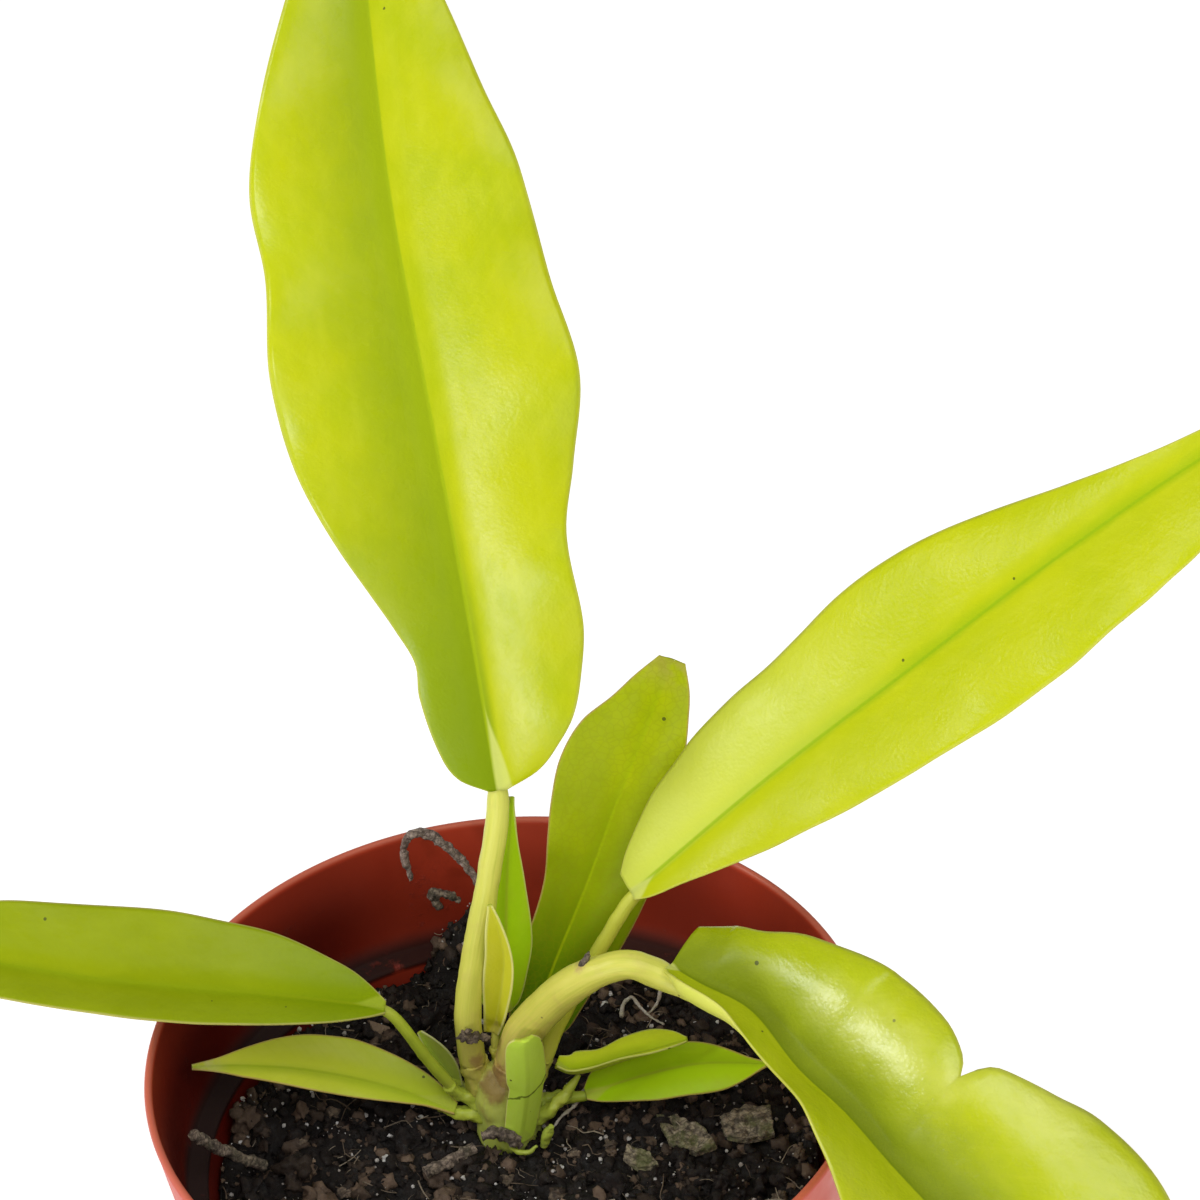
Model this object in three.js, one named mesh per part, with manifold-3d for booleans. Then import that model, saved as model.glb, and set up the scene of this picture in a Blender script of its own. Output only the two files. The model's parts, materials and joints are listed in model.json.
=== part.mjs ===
// A young potted philodendron with lime leaves in a round plastic nursery pot.
// Millimetres, +Z up. The origin is the middle of the pot's flat underside.
// Seen from the front (looking along +Y) the tall leaf stands a little left of the middle.

import * as THREE from "three";
import { mergeVertices } from "three/addons/utils/BufferGeometryUtils.js";
import Module from "manifold-3d";

const wasm = await Module();
wasm.setup();
const WELD = 1e-4;

// Pot
const POT_HEIGHT = 92;
const RIM_RADIUS = 52.5;
const WALL = 1.15;
const LEDGE_Z = 71.6;
const BAND_FOOT_RADIUS = 48.1;
const LEDGE_RADIUS = 45.4;
const LEDGE_SLOPE = 0.5;
const BASE_RADIUS = 36.4;
const FLOOR = 1.8;
const POT_SIDES = 64;
const FOOT_CHAMFER = 1.2;
const FLOOR_FILLET = 0.7;
const DRAIN_HOLES = 8;
const DRAIN_RADIUS = 3.5;
const DRAIN_CIRCLE = 26;

// Soil
const SOIL_LEVEL = 70.6;
const SOIL_GAP = 0.5;
const SOIL_RINGS = 10;
const SOIL_SECTORS = 48;
const SOIL_DIP = 4;
const SOIL_CHAMFER = 0.9;
const CHIP_BED = 11;
const CROWN_BED = 17;
const BED_EDGE = 1.6;

// Small lumps of the soil: [size, turns per mm along x, and along y], in radians
const LUMPS = [[0.5, 0.31, -0.47], [0.45, 0.62, 0.5], [0.35, -0.55, 0.7], [0.3, 0.9, 0.83]];

// A drift against the wall behind the tall leaf, a hollow at the left and one in front of the crown
const SOIL_HILLS = [
  { at: [-5, 43.5], reach: 13, height: 12 },
  { at: [-43, 2], reach: 15, height: -3.4 },
  { at: [1, 4.5], reach: 16, height: -0.7 },
];

// Crown: where every stalk is grown together
const CROWN_CENTRE = [-1, 7.5, 74];
const CROWN_RADIUS = 9.5;
const STEM_RADIUS = 4.7;
const STEM_HOLE_RADIUS = 5.2;
const STEM_FOOT = 62;
const STEM_SIDES = 14;
const SEAT_GAP = 0.3;
const CROWN_DETAIL = 0.03;

// Leaves
const BLADE_THICKNESS = 0.7;
const CREASE = 0.2;
const RIB_BAND = 0.1;
const RIDGE_FADE = 0.75;
const ROW_CROWDING = 0.45;
const STALK_END = 0.06;
const STALK_SINK = 0.5;
const STALK_TAPER = 0.55;
const STALK_SIDES = 9;

// Each organ: rib = points along the midrib, from the base to the tip.
// stalk = points from the crown up to the rib, with its radius at each point.
// facing = [share of the rib, direction that the upper face looks in].
// left and right = [share of the rib, half width, lift of that half in degrees],
// as seen from the upper face with the tip up. droop = degrees by which a half turns
// down again towards its edge; a fourth number in a row stands in for it.
const LEAVES = {
  leaf_upright: {
    color: 0xb9d11e,
    rib: [
      [1.8, 15, 128.6], [-0.6, 25, 156], [-3.5, 36, 182.5],
      [-6.4, 48, 209], [-7.3, 60, 233], [-7.5, 70, 246.5],
    ],
    stalk: [
      [-2.2, 8.2, 72, 3.1], [-4.9, 8.6, 80, 2.1], [-5.4, 8.7, 92, 2],
      [-3.4, 10, 103, 1.9], [-0.7, 12, 114.5, 1.7], [1.6, 14.4, 126.5, 1.6],
    ],
    facing: [[0, -0.05, -1, 0.3], [1, 0.05, -1, 0.5]],
    left: [
      [0, 1.2, 18], [0.02, 5.2, 18], [0.05, 7.2, 18], [0.12, 8.8, 17], [0.16, 8.6, 17], [0.2, 10.6, 17],
      [0.3, 16, 16], [0.4, 20.3, 16], [0.5, 21, 15], [0.6, 19, 14], [0.68, 19.3, 14], [0.75, 17.3, 14],
      [0.85, 12.7, 13], [0.93, 7.8, 12], [1, 0.7, 12],
    ],
    right: [
      [0, 1.3, 18], [0.02, 6.4, 18], [0.05, 10.1, 18], [0.08, 12.8, 18], [0.12, 14.6, 17], [0.18, 16.2, 17],
      [0.28, 16, 16], [0.35, 18.6, 16], [0.45, 21.8, 15], [0.55, 20.1, 15], [0.65, 18.9, 14], [0.7, 17.8, 14],
      [0.77, 14.6, 14], [0.85, 11.2, 13], [0.93, 7, 12], [1, 0.7, 12],
    ],
    droop: 22,
    wave: { size: 1.1, count: 4.5 },
    ridge: 0.9,
    rows: 28,
    columns: 5,
  },
  leaf_right: {
    color: 0xc4d42e,
    rib: [
      [19.7, 14, 108.2], [39.6, 14, 127.4], [58.8, 13, 145],
      [80, 11, 165], [100.1, 8.5, 182.7], [116, 7, 194],
    ],
    stalk: [
      [0, 8, 72.5, 2], [2.6, 8.2, 76.5, 1.5], [7.9, 10.5, 87.7, 1.2],
      [14.2, 12.5, 98.7, 1.1], [19.2, 13.9, 107.4, 1.05],
    ],
    facing: [[0, -0.3, -0.5, 0.8], [1, -0.3, -0.5, 0.8]],
    left: [
      [0, 3.4, 8], [0.02, 5.5, 8], [0.06, 8.3, 8], [0.1, 10.3, 8], [0.2, 12.8, 8], [0.3, 14, 8],
      [0.4, 15.5, 8], [0.5, 14.8, 8], [0.6, 12, 8], [0.7, 8.1, 8], [0.8, 4.8, 8], [0.9, 3, 8],
      [1, 0.6, 8],
    ],
    right: [
      [0, 1.2, 8], [0.02, 2.5, 8], [0.06, 4.1, 8], [0.1, 5.8, 8], [0.15, 7.7, 8], [0.2, 9.4, 8],
      [0.3, 11.9, 8], [0.4, 13.5, 8], [0.5, 14.5, 8], [0.6, 14.8, 8], [0.7, 13.8, 8], [0.8, 11.8, 8],
      [0.9, 7.6, 8], [0.96, 4, 8], [1, 0.6, 8],
    ],
    droop: 14,
    wave: { size: 0.5, count: 3 },
    ridge: 0.8,
    rows: 24,
    columns: 5,
  },
  leaf_drooping: {
    color: 0xb4d015,
    rib: [
      [24.3, -1, 107.1], [28.4, -4.4, 106.4], [35.1, -9.6, 105.4], [41.2, -19, 102.1], [47, -26, 99.9],
      [52.5, -33.5, 96.8], [66, -51, 89], [78, -67, 75], [88, -82, 54],
    ],
    stalk: [
      [-1, 7.4, 73, 3.4], [0.2, 7, 81, 2.9], [2.6, 6, 90, 2.9], [5.7, 4.5, 95.5, 2.8],
      [10.1, 2.5, 101.6, 2.7], [14.5, 1, 105.4, 2.3], [18.8, 0, 107, 2.1], [23.6, -0.7, 106.8, 2],
    ],
    facing: [[0, 0.3, 0.1, 0.95], [0.5, 0.2, 0, 0.95], [1, 0.3, -0.3, 0.9]],
    left: [
      [0, 7.4, 50, 34], [0.02, 8.7, 56, 38], [0.045, 10, 66, 46], [0.06, 10.2, 72, 50], [0.09, 11, 76, 54],
      [0.12, 14.3, 78, 56], [0.16, 18.3, 78, 58], [0.2, 20.6, 78, 58], [0.25, 21, 78, 58], [0.3, 20.2, 78, 58],
      [0.355, 17.6, 76, 57], [0.38, 20.1, 74, 57], [0.4, 21.5, 72, 56], [0.45, 24.7, 67, 53], [0.5, 27, 62, 50],
      [0.6, 25.6, 50, 44], [0.7, 22, 38, 38], [0.8, 17.2, 26, 34], [0.9, 10.2, 18, 34], [1, 0.7, 10, 34],
    ],
    right: [
      [0, 1.4, 10, 0], [0.02, 4.6, -4, -80], [0.04, 7.6, -10, -110], [0.06, 8.8, -12, -116],
      [0.09, 9.2, -12, -114], [0.12, 8.4, -6, -96], [0.16, 6.3, 8, -45], [0.2, 5.4, 16, -8], [0.25, 7.6, 18, 0],
      [0.3, 9.4, 18, 6], [0.35, 10.4, 17, 9], [0.4, 12.8, 16, 12], [0.45, 16, 14, 16], [0.5, 17.5, 12, 20],
      [0.6, 18, 9, 28], [0.7, 16, 7, 30], [0.8, 12.5, 6, 30], [0.9, 7.5, 5, 30], [1, 0.7, 5, 30],
    ],
    wave: { size: 1.4, count: 4 },
    ridge: 1.1,
    rows: 36,
    columns: 6,
  },
  leaf_left: {
    color: 0x9ec41c,
    rib: [
      [-17, 5, 97.7], [-32.4, 5, 101.8], [-45.5, 6, 103.7], [-58.7, 8, 105],
      [-71.9, 11, 106.3], [-85.3, 15, 105.8], [-99.3, 20, 102.1],
    ],
    stalk: [
      [-3, 7.4, 72.6, 1.4], [-4.6, 7, 75.1, 1.1], [-7.9, 7, 78.1, 0.95],
      [-11.5, 6.5, 85, 0.9], [-14.6, 5.6, 92.6, 0.85], [-16.8, 5.2, 97, 0.8],
    ],
    facing: [[0, 0, -0.6, 0.8], [1, 0, -0.6, 0.8]],
    left: [
      [0, 1, 34], [0.03, 2.3, 38], [0.1, 4.3, 38], [0.2, 5.9, 37], [0.3, 6.6, 36], [0.4, 6.7, 35],
      [0.5, 6.4, 34], [0.6, 6.2, 33], [0.7, 5.6, 32], [0.85, 3.6, 30], [1, 0.5, 28],
    ],
    right: [
      [0, 1, 12], [0.03, 3, 12], [0.06, 4.6, 12], [0.1, 6, 12], [0.2, 8.9, 12], [0.3, 10.1, 12],
      [0.4, 10.8, 12], [0.5, 10.6, 12], [0.6, 9.8, 11], [0.7, 8.6, 11], [0.85, 5.4, 10], [1, 0.5, 10],
    ],
    droop: 10,
    wave: { size: 0.3, count: 3 },
    ridge: 0.6,
    rows: 18,
    columns: 4,
  },
  leaf_low_left: {
    color: 0x8fb81c,
    rib: [[-8.5, 6.5, 75.2], [-18.9, 8.7, 79], [-29.9, 8.9, 83], [-39.4, 8.7, 85], [-46.3, 7.9, 86.2]],
    stalk: [[-3.5, 6.6, 73, 1.3], [-6, 6.4, 74, 1.1], [-8.6, 6.5, 75, 0.9]],
    facing: [[0, 0, -0.5, 0.85], [1, 0, -0.5, 0.85]],
    left: [
      [0, 0.9, 24], [0.1, 1.2, 28], [0.2, 2.2, 28], [0.3, 3, 28], [0.5, 3.5, 26],
      [0.6, 3.3, 24], [0.8, 2.1, 22], [0.9, 1.1, 20], [1, 0.4, 20],
    ],
    right: [
      [0, 1, 10], [0.1, 3, 10], [0.2, 4.2, 10], [0.4, 5.7, 10], [0.5, 5.6, 10],
      [0.6, 5.2, 10], [0.7, 4.2, 10], [0.8, 2.8, 10], [0.9, 1.3, 10], [1, 0.4, 10],
    ],
    droop: 10,
    wave: { size: 0.2, count: 2 },
    ridge: 0.4,
    rows: 12,
    columns: 3,
  },
  leaf_cupped: {
    color: 0x93b92c,
    rib: [
      [6.8, 7.6, 81.6], [8.9, 7.3, 80.6], [12, 7.1, 81],
      [17, 6.6, 83], [21.4, 6, 84.6], [26.2, 5.4, 86.6],
    ],
    stalk: [[3, 5.8, 72.8, 1.2], [5.6, 5.6, 74.6, 1], [7.8, 6.4, 77.4, 0.85]],
    stalkEnd: 0.2,
    facing: [[0, -0.1, -0.25, 1], [1, -0.1, -0.25, 1]],
    left: [
      [0, 1.4, 30], [0.15, 2.7, 34], [0.35, 2.4, 30], [0.55, 3.1, 26],
      [0.75, 3.2, 22], [0.9, 2.1, 20], [1, 0.5, 20],
    ],
    right: [
      [0, 1.2, 60], [0.15, 2.8, 64], [0.35, 2.8, 64], [0.55, 2.3, 60],
      [0.75, 1.5, 52], [0.9, 0.9, 45], [1, 0.4, 40],
    ],
    droop: 12,
    wave: { size: 0.1, count: 2 },
    ridge: 0.3,
    rows: 12,
    columns: 3,
  },
  leaf_low_right: {
    color: 0x86b31c,
    rib: [[10.8, 7.4, 75.4], [18.9, 7.3, 78.2], [27.8, 6.1, 81], [37.5, 2.9, 83]],
    stalk: [[3, 8.8, 73, 1.3], [6.5, 8.6, 73.8, 1], [10.6, 7.5, 75.2, 0.8]],
    facing: [[0, 0, -0.5, 0.85], [1, 0, -0.5, 0.85]],
    left: [
      [0, 1, 14], [0.05, 2.6, 14], [0.1, 3.3, 14], [0.2, 3.9, 14], [0.4, 4.2, 14], [0.5, 3.9, 14],
      [0.6, 3.5, 14], [0.7, 2.8, 14], [0.8, 1.9, 14], [0.9, 1, 14], [1, 0.4, 14],
    ],
    right: [
      [0, 0.9, 12], [0.05, 1.7, 12], [0.1, 2.3, 12], [0.2, 3.2, 12], [0.3, 3.9, 12], [0.4, 4.5, 12],
      [0.6, 4.8, 12], [0.7, 4.7, 12], [0.8, 4.1, 12], [0.9, 2.6, 12], [1, 0.4, 12],
    ],
    droop: 12,
    wave: { size: 0.15, count: 2 },
    ridge: 0.4,
    rows: 12,
    columns: 3,
  },
  leaf_back: {
    color: 0x8cb812,
    rib: [
      [2.8, 14.5, 80.5], [7.2, 18, 91], [12.9, 21.5, 103],
      [18.7, 25, 116.7], [23.8, 28, 127.8], [28, 31, 137.2],
    ],
    stalk: [[0, 9, 73, 2.4], [0.8, 10.8, 76, 2], [2, 13.2, 80, 1.3]],
    facing: [[0, 0.1, -1, 0.3], [1, -0.1, -1, 0.3]],
    left: [
      [0, 2.2, 12], [0.05, 4, 12], [0.1, 4.5, 12], [0.2, 5.4, 12], [0.3, 5.7, 12], [0.4, 6.4, 12],
      [0.5, 8, 12], [0.6, 9.5, 12], [0.7, 10.4, 12], [0.8, 9.4, 12], [0.88, 6.4, 12], [0.94, 4.4, 12],
      [1, 2, 12],
    ],
    right: [
      [0, 2.4, 10], [0.05, 5, 10], [0.1, 5.9, 10], [0.2, 7.2, 10], [0.3, 8.4, 10], [0.5, 9, 8],
      [0.6, 8.9, 6], [0.7, 8.1, 5], [0.8, 6.6, 5], [0.88, 5.2, 5], [0.94, 4, 5], [1, 2, 5],
    ],
    droop: 8,
    wave: { size: 0.4, count: 2.5 },
    ridge: 0.5,
    rows: 18,
    columns: 4,
  },
  leaf_slender: {
    color: 0x9cc01c,
    rib: [[-0.8, 12.5, 88.3], [0.7, 15, 98.2], [1.8, 18, 109], [3.5, 21, 122.1]],
    stalk: [[-1.4, 9, 74, 1.8], [-1.6, 11, 79, 1.1], [-0.9, 12.6, 88, 0.8]],
    facing: [[0, 0.1, -1, 0.3], [1, 0.1, -1, 0.3]],
    left: [
      [0, 1.6, 6], [0.06, 3.1, 8], [0.2, 3.4, 8], [0.4, 3.3, 8],
      [0.6, 2.6, 8], [0.8, 1.6, 8], [0.93, 0.8, 8], [1, 0.4, 8],
    ],
    right: [
      [0, 1.4, 4], [0.06, 2.7, 4], [0.2, 3.5, 4], [0.35, 3.9, 4],
      [0.6, 2.7, 4], [0.8, 1.3, 4], [0.93, 0.6, 4], [1, 0.4, 4],
    ],
    droop: 6,
    wave: { size: 0.1, count: 2 },
    ridge: 0.4,
    rows: 12,
    columns: 3,
  },
  sheath_tall: {
    color: 0xc9cf4a,
    rib: [[-2, 9.8, 87], [-0.6, 8.6, 94], [0.7, 8, 103], [0, 8, 110], [-0.6, 7.9, 113.4]],
    stalk: [[-1.6, 8.4, 76, 1.2], [-1.8, 9.4, 81, 0.7], [-2, 9.8, 85, 0.6]],
    facing: [[0, -0.2, -1, 0.2], [1, -0.4, -1, 0.2]],
    left: [[0, 0.5, 20], [0.2, 1.6, 26], [0.5, 2.8, 30], [0.75, 2.2, 28], [1, 0.4, 20]],
    right: [[0, 0.8, 30], [0.2, 1.6, 40], [0.5, 2.4, 46], [0.75, 1.7, 40], [1, 0.4, 30]],
    droop: 0,
    wave: { size: 0, count: 1 },
    ridge: 0.2,
    rows: 12,
    columns: 3,
  },
  sheath_left: {
    color: 0x9ab53c,
    rib: [[-7.9, 9.4, 77], [-9.9, 9.9, 81.5], [-12.8, 10, 87.9]],
    stalk: [[-3.4, 8.6, 73.4, 1.2], [-5.2, 8.9, 74.6, 0.9], [-6.6, 9.1, 76, 0.7]],
    facing: [[0, 0.1, -1, 0.4], [1, 0.1, -1, 0.4]],
    left: [[0, 0.6, 20], [0.3, 1.1, 24], [0.7, 1, 24], [1, 0.4, 20]],
    right: [[0, 0.8, 20], [0.3, 1.9, 24], [0.6, 2, 24], [0.85, 1.2, 22], [1, 0.4, 20]],
    droop: 0,
    wave: { size: 0, count: 1 },
    ridge: 0.2,
    rows: 8,
    columns: 3,
  },
  stub_torn: {
    color: 0x86ad3c,
    rib: [[0.6, 1.8, 72.3], [1.6, 1.2, 78], [2.5, 0.7, 84.5], [2.8, 0, 94]],
    stalk: [[0, 6, 74, 1.6], [0.4, 4.4, 74.4, 1.5], [0.8, 3, 75, 1.4]],
    stalkEnd: 0.18,
    facing: [[0, 0.25, -1, 0.2], [1, 0.25, -1, 0.3]],
    left: [[0, 2.6, -22], [0.35, 3, -24], [0.7, 2.9, -24], [0.92, 2.6, -22], [1, 2.1, -20]],
    right: [[0, 2.6, -22], [0.3, 3.4, -26], [0.6, 3.4, -26], [0.9, 2.9, -24], [1, 1.6, -20]],
    droop: 12,
    wave: { size: 0, count: 1 },
    ridge: 0.2,
    rows: 8,
    columns: 3,
  },
};

// Chips of bark lie level on the soil: middle x and y, turn in degrees, outline round the middle.
const CHIP_THICKNESS = 1.1;
const CHIP_LIFT = 0.4;
const CHIPS = {
  bark_chip_middle: {
    at: [24.9, 1],
    turn: -28,
    outline: [[-5.2, 1.6], [-2.6, 3.1], [2.4, 2], [5.4, -0.4], [3.2, -3], [-1.6, -2.2]],
  },
  bark_chip_right: {
    at: [34.4, 2.4],
    turn: 8,
    outline: [[-4, 2.2], [0.2, 3.6], [3.7, 2.6], [3.2, -3.2], [-0.8, -3.4], [-3.8, -2]],
  },
  bark_chip_front: {
    at: [18.1, -3.2],
    turn: -40,
    outline: [[-3, 0.9], [0.4, 1.9], [3.2, 0.2], [1, -1.8], [-2.2, -1.2]],
  },
};

// Twigs: x, y and height of the middle line over the soil at each point
const TWIGS = {
  twig_crown: { path: [[-6.2, 1.6, 1.7], [-9.4, -0.4, 1.5], [-13.4, -2.6, 1.4]], radius: 0.9 },
  twig_wall: { path: [[-37.4, 4, 1.6], [-42.4, 0.8, 9.3], [-46.4, -2.2, 14.3]], radius: 0.8 },
};

// The dry root: x, y, z and radius at each point; its first height is over the soil there.
const DRY_ROOT = [
  [-2.6, 41.2, -0.1, 0.6], [-3.4, 43.6, 86.4, 0.6], [-4.8, 44.6, 89, 0.65], [-7.4, 44.8, 93, 0.7],
  [-10, 45, 95.6, 0.8], [-12.4, 45, 96.2, 0.8], [-14, 44.6, 94.2, 0.65], [-13.9, 44.2, 91, 0.65],
  [-13.3, 43.8, 88, 0.5],
];

function lerpTable(rows, share, column) {
  const last = rows.length - 1;
  if (share <= rows[0][0]) return rows[0][column];
  if (share >= rows[last][0]) return rows[last][column];
  let i = 0;
  while (rows[i + 1][0] < share) i += 1;
  const slope = (k) => {
    const a = Math.max(k - 1, 0);
    const b = Math.min(k + 1, last);
    return (rows[b][column] - rows[a][column]) / (rows[b][0] - rows[a][0]);
  };
  const span = rows[i + 1][0] - rows[i][0];
  const w = (share - rows[i][0]) / span;
  const a = rows[i][column];
  const b = rows[i + 1][column];
  const ma = slope(i) * span;
  const mb = slope(i + 1) * span;
  return a + ma * w + (3 * (b - a) - 2 * ma - mb) * w * w + (2 * (a - b) + ma + mb) * w * w * w;
}

function curveThrough(points) {
  return new THREE.CatmullRomCurve3(points.map((p) => new THREE.Vector3(p[0], p[1], p[2])));
}

function closedGeometry(vertices, triangles) {
  const numbers = vertices.flatMap((v) => [v.x, v.y, v.z]);
  const geometry = new THREE.BufferGeometry();
  geometry.setAttribute("position", new THREE.Float32BufferAttribute(numbers, 3));
  geometry.setIndex(triangles.flat());
  return geometry;
}

function toSolid(geometry) {
  const bare = geometry.clone();
  bare.deleteAttribute("normal");
  bare.deleteAttribute("uv");
  const merged = mergeVertices(bare, WELD);
  return new wasm.Manifold(new wasm.Mesh({
    numProp: 3,
    vertProperties: new Float32Array(merged.attributes.position.array),
    triVerts: new Uint32Array(merged.index.array),
  }));
}

function fromSolid(solid) {
  const mesh = solid.getMesh();
  const geometry = new THREE.BufferGeometry();
  geometry.setAttribute("position", new THREE.BufferAttribute(new Float32Array(mesh.vertProperties), 3));
  geometry.setIndex(new THREE.BufferAttribute(new Uint32Array(mesh.triVerts), 1));
  return geometry;
}

function tube(points, sides, steps) {
  const curve = curveThrough(points);
  const radii = points.map((p, i) => [i / (points.length - 1), p[3]]);
  const frames = curve.computeFrenetFrames(steps, false);
  const vertices = [];
  const triangles = [];
  for (let i = 0; i <= steps; i += 1) {
    const share = curve.getUtoTmapping(i / steps);
    const middle = curve.getPoint(share);
    const radius = lerpTable(radii, share, 1);
    for (let k = 0; k < sides; k += 1) {
      const turn = (2 * Math.PI * k) / sides;
      vertices.push(middle.clone()
        .addScaledVector(frames.normals[i], Math.cos(turn) * radius)
        .addScaledVector(frames.binormals[i], Math.sin(turn) * radius));
    }
  }
  const at = (i, k) => i * sides + (k % sides);
  for (let i = 0; i < steps; i += 1) {
    for (let k = 0; k < sides; k += 1) {
      triangles.push([at(i, k), at(i, k + 1), at(i + 1, k + 1)], [at(i, k), at(i + 1, k + 1), at(i + 1, k)]);
    }
  }
  const foot = vertices.push(curve.getPoint(0)) - 1;
  const head = vertices.push(curve.getPoint(1)) - 1;
  for (let k = 0; k < sides; k += 1) {
    triangles.push([foot, at(0, k + 1), at(0, k)], [head, at(steps, k), at(steps, k + 1)]);
  }
  return closedGeometry(vertices, triangles);
}

function ribFrame(leaf, curve, share) {
  const middle = curve.getPointAt(share);
  const along = curve.getTangentAt(share);
  const face = new THREE.Vector3(...[1, 2, 3].map((c) => lerpTable(leaf.facing, share, c)));
  face.addScaledVector(along, -face.dot(along)).normalize();
  return { middle, face, across: along.clone().cross(face) };
}

function bladeGrid(leaf) {
  const curve = curveThrough(leaf.rib);
  const grid = [];
  for (let i = 0; i <= leaf.rows; i += 1) {
    const even = i / leaf.rows;
    const share = even - (ROW_CROWDING * Math.sin(2 * Math.PI * even)) / (2 * Math.PI);
    const { middle, face, across } = ribFrame(leaf, curve, share);
    const row = new Array(2 * leaf.columns + 1);
    row[leaf.columns] = { point: middle, rib: 1 };
    for (const side of [-1, 1]) {
      const table = side < 0 ? leaf.left : leaf.right;
      const width = lerpTable(table, share, 1);
      const lift = lerpTable(table, share, 2);
      const droop = leaf.droop ?? lerpTable(table, share, 3);
      const wave = leaf.wave.size * Math.sin(2 * Math.PI * leaf.wave.count * share + side);
      const ease = Math.sin(Math.PI * share);
      const point = middle.clone();
      let before = 0;
      for (let k = 1; k <= leaf.columns; k += 1) {
        const out = columnShare(k, leaf.columns);
        const half = (out + before) / 2;
        const angle = THREE.MathUtils.degToRad(lift * Math.min(1, half / CREASE) - droop * half * half);
        point.addScaledVector(across, side * (out - before) * width * Math.cos(angle));
        point.addScaledVector(face, (out - before) * width * Math.sin(angle));
        const waved = point.clone().addScaledVector(face, wave * ease * out * out);
        row[leaf.columns + side * k] = { point: waved, rib: 0 };
        before = out;
      }
    }
    grid.push({ row, ridge: leaf.ridge * (1 - RIDGE_FADE * share) });
  }
  return grid;
}

function columnShare(k, columns) {
  return k === columns ? 1 : RIB_BAND + ((1 - RIB_BAND) * (k - 1)) / (columns - 1);
}

function blade(leaf) {
  const grid = bladeGrid(leaf);
  const rows = grid.length;
  const columns = grid[0].row.length;
  const point = (i, j) => grid[i].row[j].point;
  const top = [];
  const bottom = [];
  for (let i = 0; i < rows; i += 1) {
    for (let j = 0; j < columns; j += 1) {
      const up = point(Math.min(i + 1, rows - 1), j).clone().sub(point(Math.max(i - 1, 0), j));
      const over = point(i, Math.min(j + 1, columns - 1)).clone().sub(point(i, Math.max(j - 1, 0)));
      const normal = over.cross(up).normalize();
      const deep = BLADE_THICKNESS / 2 + grid[i].row[j].rib * grid[i].ridge;
      top.push(point(i, j).clone().addScaledVector(normal, BLADE_THICKNESS / 2));
      bottom.push(point(i, j).clone().addScaledVector(normal, -deep));
    }
  }
  const count = rows * columns;
  const at = (i, j) => i * columns + j;
  const triangles = [];
  for (let i = 0; i < rows - 1; i += 1) {
    for (let j = 0; j < columns - 1; j += 1) {
      const [a, b, c, d] = [at(i, j), at(i, j + 1), at(i + 1, j + 1), at(i + 1, j)];
      triangles.push([a, b, c], [a, c, d]);
      triangles.push([count + a, count + c, count + b], [count + a, count + d, count + c]);
    }
  }
  const rim = [];
  for (let j = 0; j < columns - 1; j += 1) rim.push(at(0, j));
  for (let i = 0; i < rows - 1; i += 1) rim.push(at(i, columns - 1));
  for (let j = columns - 1; j > 0; j -= 1) rim.push(at(rows - 1, j));
  for (let i = rows - 1; i > 0; i -= 1) rim.push(at(i, 0));
  rim.forEach((a, k) => {
    const b = rim[(k + 1) % rim.length];
    triangles.push([a, count + a, count + b], [a, count + b, b]);
  });
  return closedGeometry([...top, ...bottom], triangles);
}

function ball(radius) {
  const geometry = new THREE.SphereGeometry(radius, 14, 10);
  geometry.translate(...CROWN_CENTRE);
  return toSolid(geometry);
}

// The stalk runs into the underside of the blade and ends inside it.
function organ(leaf) {
  const root = ribFrame(leaf, curveThrough(leaf.rib), leaf.stalkEnd ?? STALK_END);
  const radius = leaf.stalk[leaf.stalk.length - 1][3];
  const end = root.middle.addScaledVector(root.face, -STALK_SINK * radius);
  const points = [...leaf.stalk, [end.x, end.y, end.z, STALK_TAPER * radius]];
  return toSolid(blade(leaf)).add(toSolid(tube(points, STALK_SIDES, 2 * leaf.stalk.length)));
}

function lathe(profile) {
  const outline = profile.map(([radius, z]) => new THREE.Vector2(radius, z));
  const geometry = new THREE.LatheGeometry(outline, POT_SIDES);
  geometry.rotateX(Math.PI / 2);
  return geometry;
}

function pot() {
  const lip = WALL / 2;
  const shell = toSolid(lathe([
    [0, 0], [BASE_RADIUS - FOOT_CHAMFER, 0], [BASE_RADIUS, FOOT_CHAMFER],
    [LEDGE_RADIUS + WALL, LEDGE_Z - WALL - LEDGE_SLOPE], [BAND_FOOT_RADIUS + WALL, LEDGE_Z - WALL],
    [RIM_RADIUS, POT_HEIGHT - lip], [RIM_RADIUS - lip, POT_HEIGHT],
    [RIM_RADIUS - WALL, POT_HEIGHT - lip], [BAND_FOOT_RADIUS, LEDGE_Z + LEDGE_SLOPE], [LEDGE_RADIUS, LEDGE_Z],
    [BASE_RADIUS - WALL, FLOOR + FLOOR_FILLET], [BASE_RADIUS - WALL - FLOOR_FILLET, FLOOR], [0, FLOOR],
  ]));
  let solid = shell;
  for (let k = 0; k < DRAIN_HOLES; k += 1) {
    const turn = (2 * Math.PI * (k + 0.5)) / DRAIN_HOLES;
    const drill = new THREE.CylinderGeometry(DRAIN_RADIUS, DRAIN_RADIUS, 4 * FLOOR, 16);
    drill.rotateX(Math.PI / 2);
    drill.translate(DRAIN_CIRCLE * Math.cos(turn), DRAIN_CIRCLE * Math.sin(turn), FLOOR / 2);
    solid = solid.subtract(toSolid(drill));
  }
  return fromSolid(solid);
}

function wallRadius(z) {
  return BASE_RADIUS - WALL + ((LEDGE_RADIUS - BASE_RADIUS + WALL) * (z - FLOOR)) / (LEDGE_Z - FLOOR);
}

function bump(x, y, atX, atY, reach) {
  const d = Math.hypot(x - atX, y - atY) / reach;
  return d < 1 ? (1 - d * d) ** 2 : 0;
}

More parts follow.
